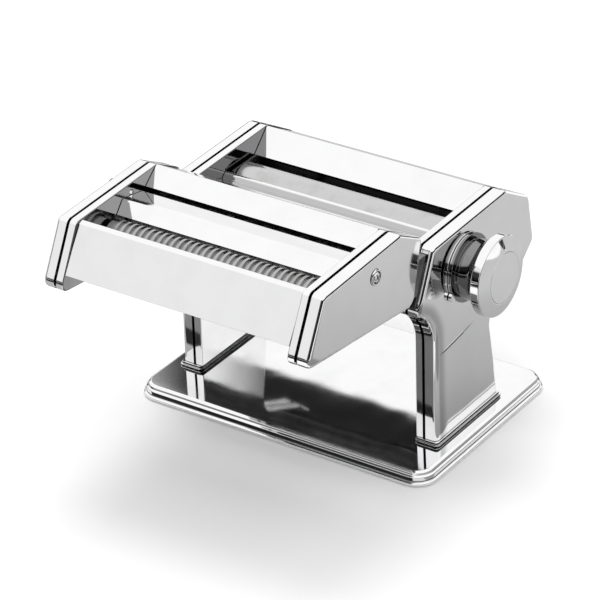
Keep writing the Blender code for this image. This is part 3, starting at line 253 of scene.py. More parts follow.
def painted_roller_shade(place):
    """Painted shade on the inner faces of the stands, where they close off the rollers."""
    side, _, z = in_mm(place)
    return 0.85 * between(z, 108.0, 116.0) * (1 - between(z, 150.0, 156.0)) * inside_of_wall(side)


def painted_cutter_shade(place):
    """Painted shade on the inner faces of the head, between its plates."""
    side, _, _ = in_mm(place)
    return 0.75 * inside_of_wall(side)


CREASE_START, CREASE_SLOPE = (41.9, 70.4), 0.12
ARCH_MIDDLE, ARCH_RADIUS = (8.6, 80.6), 27.0


def crease(place):
    """A pressed crease that runs back from the front of the leg and fades out."""
    _, y, z = in_mm(place)
    rise = z - CREASE_START[1] - (y - CREASE_START[0]) * CREASE_SLOPE
    return line_at(rise, 0.0, 1.3) * between(y, 39.0, 46.0) * (1 - between(y, 64.0, 80.0))


def along_the_arch(place):
    """How far a place is from the leg's front edge and from the arch above it."""
    _, y, z = in_mm(place)
    lift = z - ARCH_MIDDLE[1]
    above = lift * (lift > 0)
    ahead = y - ARCH_MIDDLE[0]
    return (ahead * ahead + above * above) ** 0.5 - ARCH_RADIUS


def leg_press(place):
    """The cover's front edge is drawn in softly along the leg and its arch; the crease is pressed in."""
    drawn_in = 1 - between(along_the_arch(place), -1.0, 13.0)
    return (drawn_in * drawn_in) * -0.0014 - crease(place) * 0.0004


def painted_leg_shade(place):
    """Painted shade along the crease, and a band of painted shade beside the drawn edge."""
    away = along_the_arch(place)
    return crease(place) + between(away, 1.0, 4.0) * (1 - between(away, 5.0, 12.0)) * 0.42


def painted_neck_shade(place):
    """Painted shade on the knob's neck and its ring, between the stand and the knob's rim."""
    side, _, _ = in_mm(place)
    return 0.8 * between(side, 94.3, 96.0) * (1 - between(side, 107.5, 112.0))


def painted_bead_shade(place):
    """Painted shade on the front slope of the guide's bead and on its lip over the slot."""
    _, y, _ = in_mm(place)
    slope = between(y, BEAD[0] - 7.8, BEAD[0] - 6.6) * (1 - between(y, BEAD[0] - 5.0, BEAD[0] - 3.8))
    return 0.5 * slope + 0.6 * between(y, BEAD[0] - 1.0, BEAD[0] - 0.4)


def painted_fold_shade(place):
    """Painted shade on the fold at the back of the head's guard, which turns away from the light."""
    _, y, _ = in_mm(place)
    return 0.5 * between(y, 20.4, 21.6)


chrome = chrome_finish("polished_chrome_sheet")
chrome_guide = chrome_finish("polished_chrome_front_guide", painted_shade_of=painted_bead_shade)
chrome_guard = chrome_finish("polished_chrome_rear_guard", painted_shade_of=painted_fold_shade)
chrome_neck = chrome_finish("polished_chrome_knob_painted_shade", haze=0.02, roll=0.0, painted_shade_of=painted_neck_shade)
chrome_turned = chrome_finish("polished_chrome_turned", haze=0.02, roll=0.0)
chrome_stand = chrome_finish("polished_chrome_stand_inside", haze=0.05, painted_shade_of=painted_roller_shade)
chrome_leg = chrome_finish("polished_chrome_leg_cover", painted_shade_of=painted_leg_shade, press_of=leg_press)
chrome_cheek = chrome_finish("polished_chrome_head_inside", haze=0.05, painted_shade_of=painted_cutter_shade)
print("eight chromes")

# %% [markdown]
# The smooth rollers are ground round and round, so their grain is a set of hair-fine rings: a noise that
# is stretched thin along the roller's axis and long around it. The cutting rollers, gears and inner
# fittings are plain machined steel, darker and rougher, with an oily stain here and there. The darkest
# finish is painted deep shade: it makes the rear roller in the slot under its guide, and the steps of
# the feet, near black. The shaded steel is painted shade for the pieces deep inside the machine, the
# base's step and the knob's notch. The inside of the sheet is its own dull back, painted near black for
# the shade in its hollows.

# %% Steels, bearing plastic and rubber
def steel_finish(name, colour, roughness, stretch, depth, stain=0.06):
    """Bare steel; stretch draws its grain out along some axes, and oily spots are darker by stain."""
    material, tree, shader = new_finish(name)
    place = tree.node("ShaderNodeTexCoord", output=3)
    along = tree.node("ShaderNodeMapping", None, {"Vector": place, "Scale": stretch})
    grain = tree.node("ShaderNodeTexNoise", None, {"Vector": along, "Scale": 1.0, "Detail": 4.0})
    spots = tree.node("ShaderNodeTexNoise", None, {"Vector": place, "Scale": 90.0, "Detail": 6.0})
    oily = tree.node("ShaderNodeValToRGB", {"stops": ((0.5, 0.0), (0.68, 1.0))}, {"Fac": spots})
    connect(tree, roughness + grain * 0.12 + oily * 0.08, shader.inputs["Roughness"])
    low = colour - stain
    shade = tree.node("ShaderNodeMix", {"data_type": "RGBA"}, {
        "Factor": oily, 6: (colour, colour, colour * 1.01, 1), 7: (low, low, low * 0.98, 1)}, output=2)
    connect(tree, shade, shader.inputs["Base Color"])
    shader.inputs["Metallic"].default_value = 1.0
    bump = tree.node("ShaderNodeBump", None, {"Strength": depth, "Distance": 0.0002, "Height": grain})
    connect(tree, bump, shader.inputs["Normal"])
    return material


def moulded_finish(name, colour, roughness, scale, depth):
    """A moulded or woven surface, with an even grain of its own colour."""
    material, tree, shader = new_finish(name)
    place = tree.node("ShaderNodeTexCoord", output=3)
    grain = tree.node("ShaderNodeTexNoise", None, {"Vector": place, "Scale": scale, "Detail": 5.0})
    shade = tree.node("ShaderNodeMix", {"data_type": "RGBA"}, {
        "Factor": grain, 6: (*[c * 0.85 for c in colour], 1), 7: (*colour, 1)}, output=2)
    connect(tree, shade, shader.inputs["Base Color"])
    connect(tree, roughness + grain * 0.15, shader.inputs["Roughness"])
    bump = tree.node("ShaderNodeBump", None, {"Strength": depth, "Distance": 0.0004, "Height": grain})
    connect(tree, bump, shader.inputs["Normal"])
    return material


ROUND_GRAIN, LONG_GRAIN = (2600.0, 60.0, 60.0), (160.0, 1500.0, 1500.0)
ground = steel_finish("ground_roller_steel", 0.59, 0.10, ROUND_GRAIN, 0.12)
# Painted deep shade: near black, for the rear roller under its guide and for the steps of the feet.
darkest = steel_finish("ground_steel_in_painted_deep_shade", 0.008, 0.16, ROUND_GRAIN, 0.12, stain=0.01)
machined = steel_finish("machined_gear_steel", 0.46, 0.26, (900.0, 900.0, 900.0), 0.3)
fitting = steel_finish("bright_fitting_steel", 0.62, 0.18, LONG_GRAIN, 0.15)
# Painted shade: the sheet's own dull back, darkened to near black for the shade in its hollows and seams.
inside = steel_finish("dull_inside_of_sheet", 0.08, 0.45, (300.0, 300.0, 300.0), 0.2)
# Painted shade: dark steel for the pieces deep inside, the base's step and the knob's notch.
shaded = steel_finish("steel_in_painted_shade", 0.22, 0.28, LONG_GRAIN, 0.15)
rubber = moulded_finish("foot_rubber", (0.03, 0.03, 0.031), 0.6, 900.0, 0.4)
bearing = moulded_finish("bearing_plastic", (0.84, 0.84, 0.81), 0.35, 700.0, 0.15)
print("eight finishes beside the chrome")

# %% [markdown]
# Every piece below is worked in millimetres in a bmesh and ends the same way: it is scaled and moved to
# its place, turned into an object, given its modifiers' results for good, and tied to the body that
# carries it. Weighted normals keep large faces optically flat, which a mirror shows up at once, while the
# edges stay soft.

# %% From a worked shape to a finished piece
def as_object(name, work, material):
    """Make an object of a bmesh that lies in its place, in metres; all its faces are smooth."""
    for face in work.faces:
        face.smooth = True
    mesh = bpy.data.meshes.new(name)
    work.to_mesh(mesh)
    work.free()
    mesh.materials.append(material)
    piece = bpy.data.objects.new(name, mesh)
    bpy.context.scene.collection.objects.link(piece)
    return piece


def live(name, work, material):
    """Make an object of a bmesh that was worked in millimetres about the machine's middle."""
    bmesh.ops.scale(work, vec=(MM, MM, MM), verts=work.verts)
    bmesh.ops.translate(work, vec=SHIFT, verts=work.verts)
    return as_object(name, work, material)


def modify(piece, kind, **settings):
    """Give a piece a modifier with these settings."""
    modifier = piece.modifiers.new(kind.lower(), kind)
    for name, value in settings.items():
        setattr(modifier, name, value)


def settle(piece):
    """Keep what the modifiers make, and clear them."""
    bpy.context.view_layer.update()
    mesh = bpy.data.meshes.new_from_object(piece.evaluated_get(bpy.context.evaluated_depsgraph_get()))
    mesh.name = piece.name
    piece.modifiers.clear()
    piece.data = mesh
    return piece


def sharpen(work, angle=35):
    """Mark the edges that really are corners, so that smooth shading stops at them."""
    for edge in work.edges:
        if len(edge.link_faces) == 2 and edge.calc_face_angle() > math.radians(angle):
            edge.smooth = False


def soften(work, width, angle=25, segments=3):
    """Round every edge that is sharper than the angle."""
    sharp = [e for e in work.edges if len(e.link_faces) == 2 and e.calc_face_angle() > math.radians(angle)]
    bmesh.ops.bevel(work, geom=sharp, offset=width, affect="EDGES", segments=segments, profile=0.5,
                    material=-1, clamp_overlap=True)


def only_verts(geometry):
    """The corners among what an operator made."""
    return [g for g in geometry if isinstance(g, bmesh.types.BMVert)]


def carry(piece, body, *nodes, slot="chrome"):
    """Tie a finished piece to the body that it moves with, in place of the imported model's nodes."""
    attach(piece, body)
    if nodes:
        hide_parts(*nodes)
    print(piece.name, len(piece.data.polygons), "faces, rides on", body)
    return piece


# %% [markdown]
# The stands, covers and base are all pressings: a flat outline with rounded corners, drawn to a depth,
# with a soft edge all round its face. So one helper draws the outline and rounds each corner with a
# vertex bevel, one draws it deep, and one rolls its edge over and gives the sheet its thickness.

# %% Outlines and pressed trays
def outline(work, corners, flat, segments=10):
    """A face from corners (a, b, radius); flat says where (a, b) lies in space."""
    verts = [work.verts.new(flat(a, b)) for a, b, radius in corners]
    work.faces.new(verts)
    for k, (a, b, radius) in enumerate(corners):
        if not radius:
            continue
        here = Vector((a, b))
        back = Vector(corners[k - 1][:2]) - here
        ahead = Vector(corners[(k + 1) % len(corners)][:2]) - here
        reach = radius / math.tan(back.angle(ahead) / 2)
        spot = Vector(flat(a, b))
        corner = [v for v in work.verts if (v.co - spot).length < 1e-5]
        bmesh.ops.bevel(work, geom=corner, offset=reach, offset_type="ABSOLUTE", affect="VERTICES",
                        segments=segments, profile=0.5, material=-1)
    return work.faces[:]


def drawn(work, corners, flat, depth, segments=10):
    """The outline as a closed solid, drawn along depth."""
    faces = outline(work, corners, flat, segments)
    pushed = bmesh.ops.extrude_face_region(work, geom=faces)
    bmesh.ops.translate(work, vec=depth, verts=only_verts(pushed["geom"]))
    bmesh.ops.recalc_face_normals(work, faces=work.faces)


def tray(name, corners, rim, face, sheet, edge, material, segments=8):
    """A pressed tray between the planes x = rim, which is open, and x = face."""
    work = bmesh.new()
    drawn(work, corners, lambda a, b: (rim, a, b), (face - rim, 0, 0))
    lowest = min(v.co.z for v in work.verts) + 0.01
    loop = [e for e in work.edges if all(abs(v.co.x - face) < 1e-4 for v in e.verts)
            and not all(v.co.z < lowest for v in e.verts)]
    bmesh.ops.bevel(work, geom=loop, offset=edge, affect="EDGES", segments=segments, profile=0.5,
                    material=-1)
    bmesh.ops.recalc_face_normals(work, faces=work.faces)
    open_side = [f for f in work.faces if all(abs(v.co.x - rim) < 1e-4 for v in f.verts)]
    bmesh.ops.delete(work, geom=open_side, context="FACES_ONLY")
    piece = live(name, work, material)
    # The inner faces take the near-black inside finish: the sheet's dull back with painted shade.
    piece.data.materials.append(inside)
    modify(piece, "SOLIDIFY", thickness=sheet * MM, offset=-1, material_offset=1)
    return piece


def cut(piece, *tools, walls=None):
    """Take the tools' shapes out of a piece; the new walls take its own finish or another one."""
    for number, work in enumerate(tools):
        bmesh.ops.recalc_face_normals(work, faces=work.faces)
        tool = live(f"{piece.name}_tool_{number}", work, walls or piece.data.materials[0])
        modify(piece, "BOOLEAN", object=tool, operation="DIFFERENCE", solver="EXACT",
               material_mode="TRANSFER" if walls else "INDEX")
        settle(piece)
        bpy.data.objects.remove(tool, do_unlink=True)
    return piece


def rod(y, z, radius, low, high):
    """A round bar along x."""
    work = bmesh.new()
    lying = Matrix.Translation(((low + high) / 2, y, z)) @ Matrix.Rotation(math.pi / 2, 4, "Y")
    bmesh.ops.create_cone(work, cap_ends=True, segments=48, radius1=radius, radius2=radius,
                          depth=high - low, matrix=lying)
    return work


def box(low, high):
    """A block between two corners."""
    work = bmesh.new()
    low, high = Vector(low), Vector(high)
    stretched = Matrix.Translation((low + high) / 2) @ Matrix.Diagonal((*(high - low), 1))
    bmesh.ops.create_cube(work, size=1, matrix=stretched)
    return work


def polish(piece, rim=0.2):
    """Break the last sharp edges and even out the normals."""
    if rim:
        modify(piece, "BEVEL", width=rim * MM, segments=2, limit_method="ANGLE",
               angle_limit=math.radians(50))
    modify(piece, "WEIGHTED_NORMAL", keep_sharp=True, weight=60)
    return settle(piece)


print("helpers for pressings are ready")

# %% [markdown]
# Each stand is an inner tray and an outer cover that face each other across a narrow dark seam. Their
# shared outline is a body with a slanted front, a sloping rear shoulder and one leg, which flows into it
# in a curve.

# %% The four side pressings of the body
FOOT_Z = BASE_TOP + 3.6
BODY = ((35.8, 144.4, 4.0), (115.5, 146.4, 8.0), (143.3, 130.0, 6.0), (148.2, 98.2, 5.0),
        (136.6, 88.4, 6.0), (95.6, 70.5, 12.0), (104.6, FOOT_Z, 0), (34.0, FOOT_Z, 0),
        (36.0, 96.8, ARCH_RADIUS), (17.3, 106.3, 4.4))
PLATE_SHEET, PLATE_EDGE, COVER_SHEET, COVER_EDGE = 1.2, 0.8, 1.0, 3.0
CRANK, CRANK_HOLE, SOCKET_HOLE = (98.6374, 101.6917), 4.4, 5.4
DIAL, DIAL_HOLE = (70.4, 116.0), 9.0
TIE_ROD, TIE_ROD_HOLE, REAR_BUSH_HOLE = (32.0, 108.0), 2.1, 6.3
BLOCK_SLOT = (FRONT_Y - 5.65, ROLLER_Z - 4.4), (FRONT_Y + 5.65, ROLLER_Z + 4.4)
SCRAPER_SLOT = (FRONT_Y - 12.15, 97.1), (FRONT_Y - 1.85, 100.4)


def plate_and_cover(name, corners, side, plate_finish, cover_finish):
    """The two trays of one side, and for each the x range of a tool that cuts through its face."""
    plate = tray(f"{name}_plate", corners, side * TRAY_RIM, side * INNER, PLATE_SHEET, PLATE_EDGE,
                 plate_finish, segments=3)
    cover = tray(f"{name}_cover", corners, side * COVER_RIM, side * COVER_FACE, COVER_SHEET, COVER_EDGE,
                 cover_finish)
    through_plate = sorted((side * (INNER - 2), side * (INNER + 2.2)))
    through_cover = sorted((side * (COVER_FACE - 2.5), side * (COVER_FACE + 1)))
    return plate, cover, through_plate, through_cover


def slot_tool(corners, through):
    """A tool for a right-angled hole, from its low and high corner (y, z)."""
    return box(*[(x, *corner) for x, corner in zip(through, corners)])


for side_name, side in SIDES:
    plate, cover, through_plate, through_cover = plate_and_cover(
        f"{side_name}_stand", BODY, side, chrome_stand, chrome_leg)
    holes = [rod(REAR_Y, ROLLER_Z, REAR_BUSH_HOLE, *through_plate), slot_tool(BLOCK_SLOT, through_plate),
             rod(*TIE_ROD, TIE_ROD_HOLE, *through_plate), slot_tool(SCRAPER_SLOT, through_plate)]
    if side < 0:
        holes.append(rod(*CRANK, CRANK_HOLE, *through_plate))
    polish(cut(plate, *holes))
    carry(plate, "frame", f"{side_name}_side_plate")
    centre, radius = (DIAL, DIAL_HOLE) if side > 0 else (CRANK, SOCKET_HOLE)
    polish(cut(cover, rod(*centre, radius, *through_cover)))
    carry(cover, "frame", f"{side_name}_cover")

# %% [markdown]
# The cutting head hangs in front of the body between two smaller stands of the same build.

# %% The four side pressings of the head
HEAD = ((-76.5, 167.2, 4.0), (1.5, 170.0, 4.0), (25.0, 157.2, 4.0), (14.0, 116.3, 8.0),
        (-97.2, 128.3, 5.7))
CUTTER_Z, CUTTER_HOLE, SCREW_HOLE = 147.0, 3.8, 2.0
AXES = {"front_leading": -66.0, "front_trailing": -48.0, "rear_leading": -21.5, "rear_trailing": -3.5}
DRIVEN = ("front_trailing", "rear_leading")
SCREWS = {"left": (-24.2, 162.5), "right": (-25.2, 155.2)}

for side_name, side in SIDES:
    plate, cover, through_plate, through_cover = plate_and_cover(
        f"{side_name}_cheek", HEAD, side, chrome_cheek, chrome)
    holes = [rod(y, CUTTER_Z, CUTTER_HOLE, *through_plate) for y in AXES.values()]
    holes.append(rod(*SCREWS[side_name], SCREW_HOLE, *through_plate))
    polish(cut(plate, *holes))
    carry(plate, "cutter_head", f"{side_name}_head_plate")
    holes = [rod(*SCREWS[side_name], SCREW_HOLE, *through_cover)]
    if side < 0:
        holes += [rod(AXES[name], CUTTER_Z, SOCKET_HOLE, *through_cover) for name in DRIVEN]
    polish(cut(cover, *holes))
    carry(cover, "cutter_head", f"{side_name}_head_cover")

# %% [markdown]
# The base is one pressing too: a flat pan with a step near its edge and a rolled rim, which stands on
# rubber feet. Insetting the outline again and again, with a rise each time, draws that stepped edge; a
# bevel then rounds it. The steep faces of a step are painted dark, a painted reflection of the dark under
# its edge; the feet's steps are painted near black as shade.

# %% The base and the foot plates
def stepped(name, corners, start, steps, rounding, material, hollow):
    """A pressing in steps of (inset, rise) from a flat outline; a hollow one is open underneath."""
    work = bmesh.new()
    top = outline(work, corners, lambda a, b: (a, b, start))
    bmesh.ops.recalc_face_normals(work, faces=work.faces)
    if top[0].normal.z < 0:
        bmesh.ops.reverse_faces(work, faces=work.faces)
    floor = bmesh.ops.duplicate(work, geom=top)["geom"] if not hollow else []
    bmesh.ops.reverse_faces(work, faces=[g for g in floor if isinstance(g, bmesh.types.BMFace)])
    for inset, rise in steps:
        bmesh.ops.inset_region(work, faces=top, thickness=inset, depth=rise, use_boundary=True,
                               use_even_offset=True)
    bmesh.ops.remove_doubles(work, verts=work.verts, dist=1e-4)
    soften(work, rounding, 12, 4)
    return live(name, work, material)


def rectangle(low, high, front, back, radius):
    """The outline of a plate whose four corners have the same radius."""
    return [(a, b, radius) for a, b in ((low, front), (high, front), (high, back), (low, back))]


BASE = rectangle(-BASE_HALF, BASE_HALF, 0, BASE_DEPTH, 14.0)
BASE_SHEET, NO_INSET, STEP_LOW, STEP_HIGH = 1.2, 0.001, 2.85, 3.9
RIM_STEPS = ((NO_INSET, 1.1), (0.9, 0.8), (0.5, 0.0), (0.2, 0.9), (0.1, 2.0), (1.2, 1.0), (0.3, 1.3),
             (1.6, 1.1))
base = stepped("base_pressing", BASE, RIM_FOOT, RIM_STEPS, 0.35, chrome, hollow=True)
modify(base, "SOLIDIFY", thickness=BASE_SHEET * MM, offset=-1, use_even_offset=True)
polish(base, 0.3)


def blacken(piece, low, high, material, steep=0.5):
    """Paint the steep faces of a step, between two heights in millimetres, dark: painted shade."""
    piece.data.materials.append(material)
    number = len(piece.data.materials) - 1
    found = [f for f in piece.data.polygons if low < f.center.z / MM < high and abs(f.normal.z) < steep]
    for face in found:
        face.material_index = number
    print(piece.name, "has", len(found), "dark faces in its step")


# Painted reflection: the steep faces of the base's step take the dark shaded steel.
blacken(base, STEP_LOW, STEP_HIGH, shaded)
carry(base, "frame", "base_pan")

FOOT_FRONT, FOOT_BACK = 31.8, 105.6
FOOT_STEPS = ((NO_INSET, 1.5), (1.1, 0.0), (NO_INSET, 1.5))
for side_name, side in SIDES:
    low, high = sorted((side * (INNER - 0.55), side * (COVER_FACE + 2.2)))
    foot = rectangle(low, high, FOOT_FRONT, FOOT_BACK, 3.0)
    plate = stepped(f"{side_name}_foot_flange", foot, BASE_TOP + 0.3, FOOT_STEPS, 0.3, chrome, hollow=False)
    polish(plate, 0)
    # Painted shade: the foot's steep step faces take the near-black darkest finish.
    blacken(plate, BASE_TOP, BASE_TOP + 4, darkest)
    carry(plate, "frame", f"{side_name}_foot_plate")

# %% [markdown]
# The guide plates and the head's plates are flat sheet that is folded along straight lines. A chain of
# points is pulled across the machine into a ribbon, and each fold is rounded by a bevel before the sheet
# gets thick.

# %% Folded plates
HALF_SPAN, GUIDE_SHEET, HEAD_SHEET = 79.2, 1.0, 0.9
BODY_MIDDLE, HEAD_MIDDLE = (85.0, 112.0), (-35.0, 138.0)


def folded(name, path, thickness, material, middle):
    """A bent sheet across the machine; path is (y, z, fold radius), and middle is what it wraps round."""
    work = bmesh.new()
    verts = [work.verts.new((-HALF_SPAN, y, z)) for y, z, radius in path]
    chain = [work.edges.new(pair) for pair in zip(verts, verts[1:])]
    pulled = bmesh.ops.extrude_edge_only(work, edges=chain)
    bmesh.ops.translate(work, vec=(2 * HALF_SPAN, 0, 0), verts=only_verts(pulled["geom"]))
    for k, (y, z, radius) in enumerate(path):
        if not radius or k in (0, len(path) - 1):
            continue
        here = Vector((y, z))
        turn_angle = math.pi - (Vector(path[k - 1][:2]) - here).angle(Vector(path[k + 1][:2]) - here)
        fold = [e for e in work.edges if all(abs(v.co.y - y) + abs(v.co.z - z) < 1e-3 for v in e.verts)]
        bmesh.ops.bevel(work, geom=fold, offset=radius * math.tan(turn_angle / 2), affect="EDGES",
                        segments=8, profile=0.5, material=-1)
    bmesh.ops.recalc_face_normals(work, faces=work.faces)
    widest = max(work.faces, key=lambda face: face.calc_area())
    if widest.normal.dot(widest.calc_center_median() - Vector((0, *middle))) < 0:
        bmesh.ops.reverse_faces(work, faces=work.faces)
    piece = live(name, work, material)
    piece.data.materials.append(inside)
    modify(piece, "SOLIDIFY", thickness=thickness * MM, offset=0, use_even_offset=True, material_offset=1,
           material_offset_rim=1)
    return polish(piece, 0.15)


def steps_from(start, *steps):
    """A stretch of path whose points are given from one of them."""
    return [(start[0] + y, start[1] + z, radius) for y, z, radius in steps]


rear_path = ((*NIP, 0), (114.5, 145.6, 1.0), (141.1, 130.3, 5.0), (145.8, 100.2, 0))
rear_guide = folded("rear_guide", rear_path, GUIDE_SHEET, chrome, BODY_MIDDLE)
carry(rear_guide, "frame", "rear_guide_plate")

bead = steps_from(BEAD, (-1.4, -1.9, 0), (0, 0, 1.4), (-4.2, 0.3, 2.0), (-6.6, -2.2, 1.5),
                  (-19.0, 1.6, 1.5), (-22.0, 4.8, 1.5), (-27.0, 5.6, 1.5))
front_path = (*bead, (37.4, 143.0, 2.5), (21.9, 109.9, 0))
front_guide = folded("front_guide", front_path, GUIDE_SHEET, chrome_guide, BODY_MIDDLE)
carry(front_guide, "frame", "front_guide_plate")

lip = steps_from((-74.6, 165.3), (0, 0, 0.8), (3.2, 0.9, 0.8), (4.3, -3.2, 0))
front_plate = folded("cutter_front_plate", ((-90.9, 138.4, 0), *lip), HEAD_SHEET, chrome, HEAD_MIDDLE)
carry(front_plate, "cutter_head", "head_front_plate")

divider_path = ((-14.2, 155.0, 0), (-13.8, 158.8, 1.0), (-33.0, 162.0, 1.5), (-39.4, 154.6, 0))
divider = folded("cutter_divider", divider_path, HEAD_SHEET, chrome, HEAD_MIDDLE)
carry(divider, "cutter_head", "head_divider")

guard_path = ((-10.3, 160.2, 0), (1.3, 169.6, 1.0), (23.1, 156.8, 4.0), (12.4, 119.3, 0))
guard = folded("cutter_rear_guard", guard_path, HEAD_SHEET, chrome_guard, HEAD_MIDDLE)
carry(guard, "cutter_head", "head_rear_guard")

# %% [markdown]
# Rollers, the dial's knob and its ring are turned on a lathe, which is what Spin does: half a profile
# goes once around the axis. Only the edges that a lathe tool would break are then rounded.

# %% Turned pieces
def turned(name, profile, centre, material, steps=96, rounding=0.25, closed=False, sharp=False):
    """Spin (radius, x) points about the line along x through centre."""
    work = bmesh.new()
    y, z = centre
    verts = [work.verts.new((x, y + radius, z)) for radius, x in profile]
    edges = [work.edges.new(pair) for pair in zip(verts, verts[1:])]
    if closed:
        edges.append(work.edges.new((verts[-1], verts[0])))
    bmesh.ops.spin(work, geom=verts + edges, cent=(0, y, z), axis=(1, 0, 0), angle=2 * math.pi,
                   steps=steps, use_merge=True)
    bmesh.ops.remove_doubles(work, verts=work.verts, dist=1e-4)
    bmesh.ops.recalc_face_normals(work, faces=work.faces)
    if sharp:
        sharpen(work)
    else:
        soften(work, rounding)
    return live(name, work, material)


HALF_ROLLER, ROLLER_RADIUS, JOURNAL, JOURNAL_END = 75.5, 14.5, 4.0, 84.2
# The rear roller takes the near-black darkest finish: painted shade for the slot under its guide.
for name, y, gear_end, metal in (("front", FRONT_Y, 88.5, ground), ("rear", REAR_Y, 92.7, darkest)):
    profile = ((0, JOURNAL_END), (JOURNAL, JOURNAL_END), (JOURNAL, HALF_ROLLER),
               (ROLLER_RADIUS, HALF_ROLLER), (ROLLER_RADIUS, -HALF_ROLLER), (JOURNAL, -HALF_ROLLER),
               (JOURNAL, -gear_end), (0, -gear_end))
    roller = turned(f"{name}_dough_roller", profile, (y, ROLLER_Z), metal, rounding=0.4)
    polish(roller, 0)
    carry(roller, f"{name}_roller", f"{name}_smooth_roller", slot="rollers")

# %% [markdown]
# The cutting rollers are rows of discs, each as wide as one noodle. The discs of one roller run in the
# grooves of its partner, so the second roller of a pair is shifted by one cut.

# %% Cutting rollers
GROOVE, DISC, DISC_GAP, CUTTER_JOURNAL = 7.8, 9.5, 0.2, 3.5
CUTTER_HALF, CUTTER_END, SOCKET_END = 77.1, 82.2, 85.6
NARROW_CUT, WIDE_CUT = 2.25, 6.5


def cutting_roller(name, y, cut_width, shifted):
    """One row of discs with its journals, spun from a single toothed profile."""
    step = 2 * cut_width
    half_count = int((HALF_ROLLER - 1.2 * cut_width) / step)
    places = [k * step + (cut_width if shifted else 0) for k in range(-half_count, half_count + 1)]
    half_disc = cut_width / 2 - DISC_GAP
    profile = [(0, CUTTER_END), (CUTTER_JOURNAL, CUTTER_END), (CUTTER_JOURNAL, CUTTER_HALF),
               (GROOVE, CUTTER_HALF)]
    for x in reversed([x for x in places if abs(x) + cut_width / 2 < HALF_ROLLER]):
        left, right = x - half_disc, x + half_disc
        profile += [(GROOVE, right), (DISC, right), (DISC, left), (GROOVE, left)]
    profile += [(GROOVE, -CUTTER_HALF), (CUTTER_JOURNAL, -CUTTER_HALF), (CUTTER_JOURNAL, -SOCKET_END),
                (0, -SOCKET_END)]
    piece = turned(name + "_discs", profile, (y, CUTTER_Z), machined, steps=56, sharp=True)
    carry(piece, name, name + "_cutter", slot="gears")


for name, y in AXES.items():
    cut_width = NARROW_CUT if name.startswith("front") else WIDE_CUT
    cutting_roller(name, y, cut_width, name.endswith("trailing"))

# %% [markdown]
# The thickness dial: a stepped ring on the cover, and a knob whose neck flares out to a bevelled rim. A
# small notch in the bevel is the pointer, and a cap closes the bore that the knob's spring sits in.

# %% The dial
INDEX_FACE, KNOB_BACK, RIM_FACE, KNOB_FACE = 99.5, 100.1, 118.0, 121.0
RING_FACE, RING_BACK, HUB_BACK = 97.0, 94.5, 92.7
SHAFT_BORE, HUB, SPRING_BORE, NECK = 4.9, 8.7, 10.5, 19.0
CAP_SEAT, CAP_EDGE, CAP_BACK = 15.8, 15.78, 119.3
INDEX_EDGE, RING_EDGE, FACE_EDGE, KNOB_EDGE, NOTCH_REACH = 17.5, 21.5, 17.3, 25.4, 21.4

ring_profile = ((SHAFT_BORE, INDEX_FACE), (INDEX_EDGE, INDEX_FACE), (INDEX_EDGE, RING_FACE),
                (RING_EDGE, RING_FACE), (RING_EDGE, RING_BACK), (HUB, RING_BACK), (HUB, HUB_BACK),
                (SHAFT_BORE, HUB_BACK))
ring = turned("dial_ring", ring_profile, DIAL, chrome_neck, closed=True, rounding=0.3)
pin_hole = box((97.2, DIAL[0] - 1.8, DIAL[1] + 12.0), (101, DIAL[0] + 1.8, DIAL[1] + 15.2))
polish(cut(ring, pin_hole), 0)
carry(ring, "frame", "index_ring")

EAR_ANGLE, EAR_RADIUS = math.radians(212), 3.2
ear_y = DIAL[0] + RING_EDGE * math.cos(EAR_ANGLE)
ear_z = DIAL[1] + RING_EDGE * math.sin(EAR_ANGLE)
ear = rod(ear_y, ear_z, EAR_RADIUS, RING_BACK + 0.1, RING_FACE - 0.2)
soften(ear, 0.3)
ear_lug = polish(live("dial_ring_ear", ear, chrome_turned), 0)
carry(ear_lug, "frame")

knob_profile = ((CAP_SEAT, KNOB_FACE), (FACE_EDGE, KNOB_FACE), (KNOB_EDGE, RIM_FACE), (KNOB_EDGE, 112.4),
                (22.6, 110.6), (20.2, 108.2), (NECK, 105.4), (NECK, KNOB_BACK), (SHAFT_BORE, KNOB_BACK),
                (SHAFT_BORE, 103.5), (SPRING_BORE, 103.5), (SPRING_BORE, CAP_BACK), (CAP_SEAT, CAP_BACK))
knob = turned("setting_knob", knob_profile, DIAL, chrome_neck, steps=128, closed=True, rounding=0.5)
notch = bmesh.new()
pointer = ((-2.5, 3.2, 0.3), (0, -3.4, 0.3), (2.5, 3.2, 0.3))
drawn(notch, pointer, lambda a, b: (-0.9, a, b), (2.0, 0, 0), segments=4)
tilt = Matrix.Rotation(math.atan2(RIM_FACE - KNOB_FACE, KNOB_EDGE - FACE_EDGE), 3, "Y")
bmesh.ops.rotate(notch, cent=(0, 0, 0), matrix=tilt, verts=notch.verts)
on_the_bevel = Vector(((RIM_FACE + KNOB_FACE) / 2, DIAL[0], DIAL[1] + NOTCH_REACH))
bmesh.ops.translate(notch, vec=on_the_bevel, verts=notch.verts)
# Painted shade: the notch's walls take the dark shaded steel, so the pointer shows black.
polish(cut(knob, notch, walls=shaded), 0)
carry(knob, "knob", "dial_knob")

cap_profile = ((0, KNOB_FACE), (CAP_EDGE, KNOB_FACE), (CAP_EDGE, CAP_BACK + 0.3), (0, CAP_BACK + 0.3))
cap = turned("knob_cap", cap_profile, DIAL, chrome_turned, steps=128, sharp=True)
polish(cap, 0)
carry(cap, "knob", "dial_cap")

# %% [markdown]
# A cross-headed screw in a cup washer holds each cheek of the head. The cross is two grooves cut from the
# dome; their walls and the narrow recess between the head and its washer are painted black, as shade.

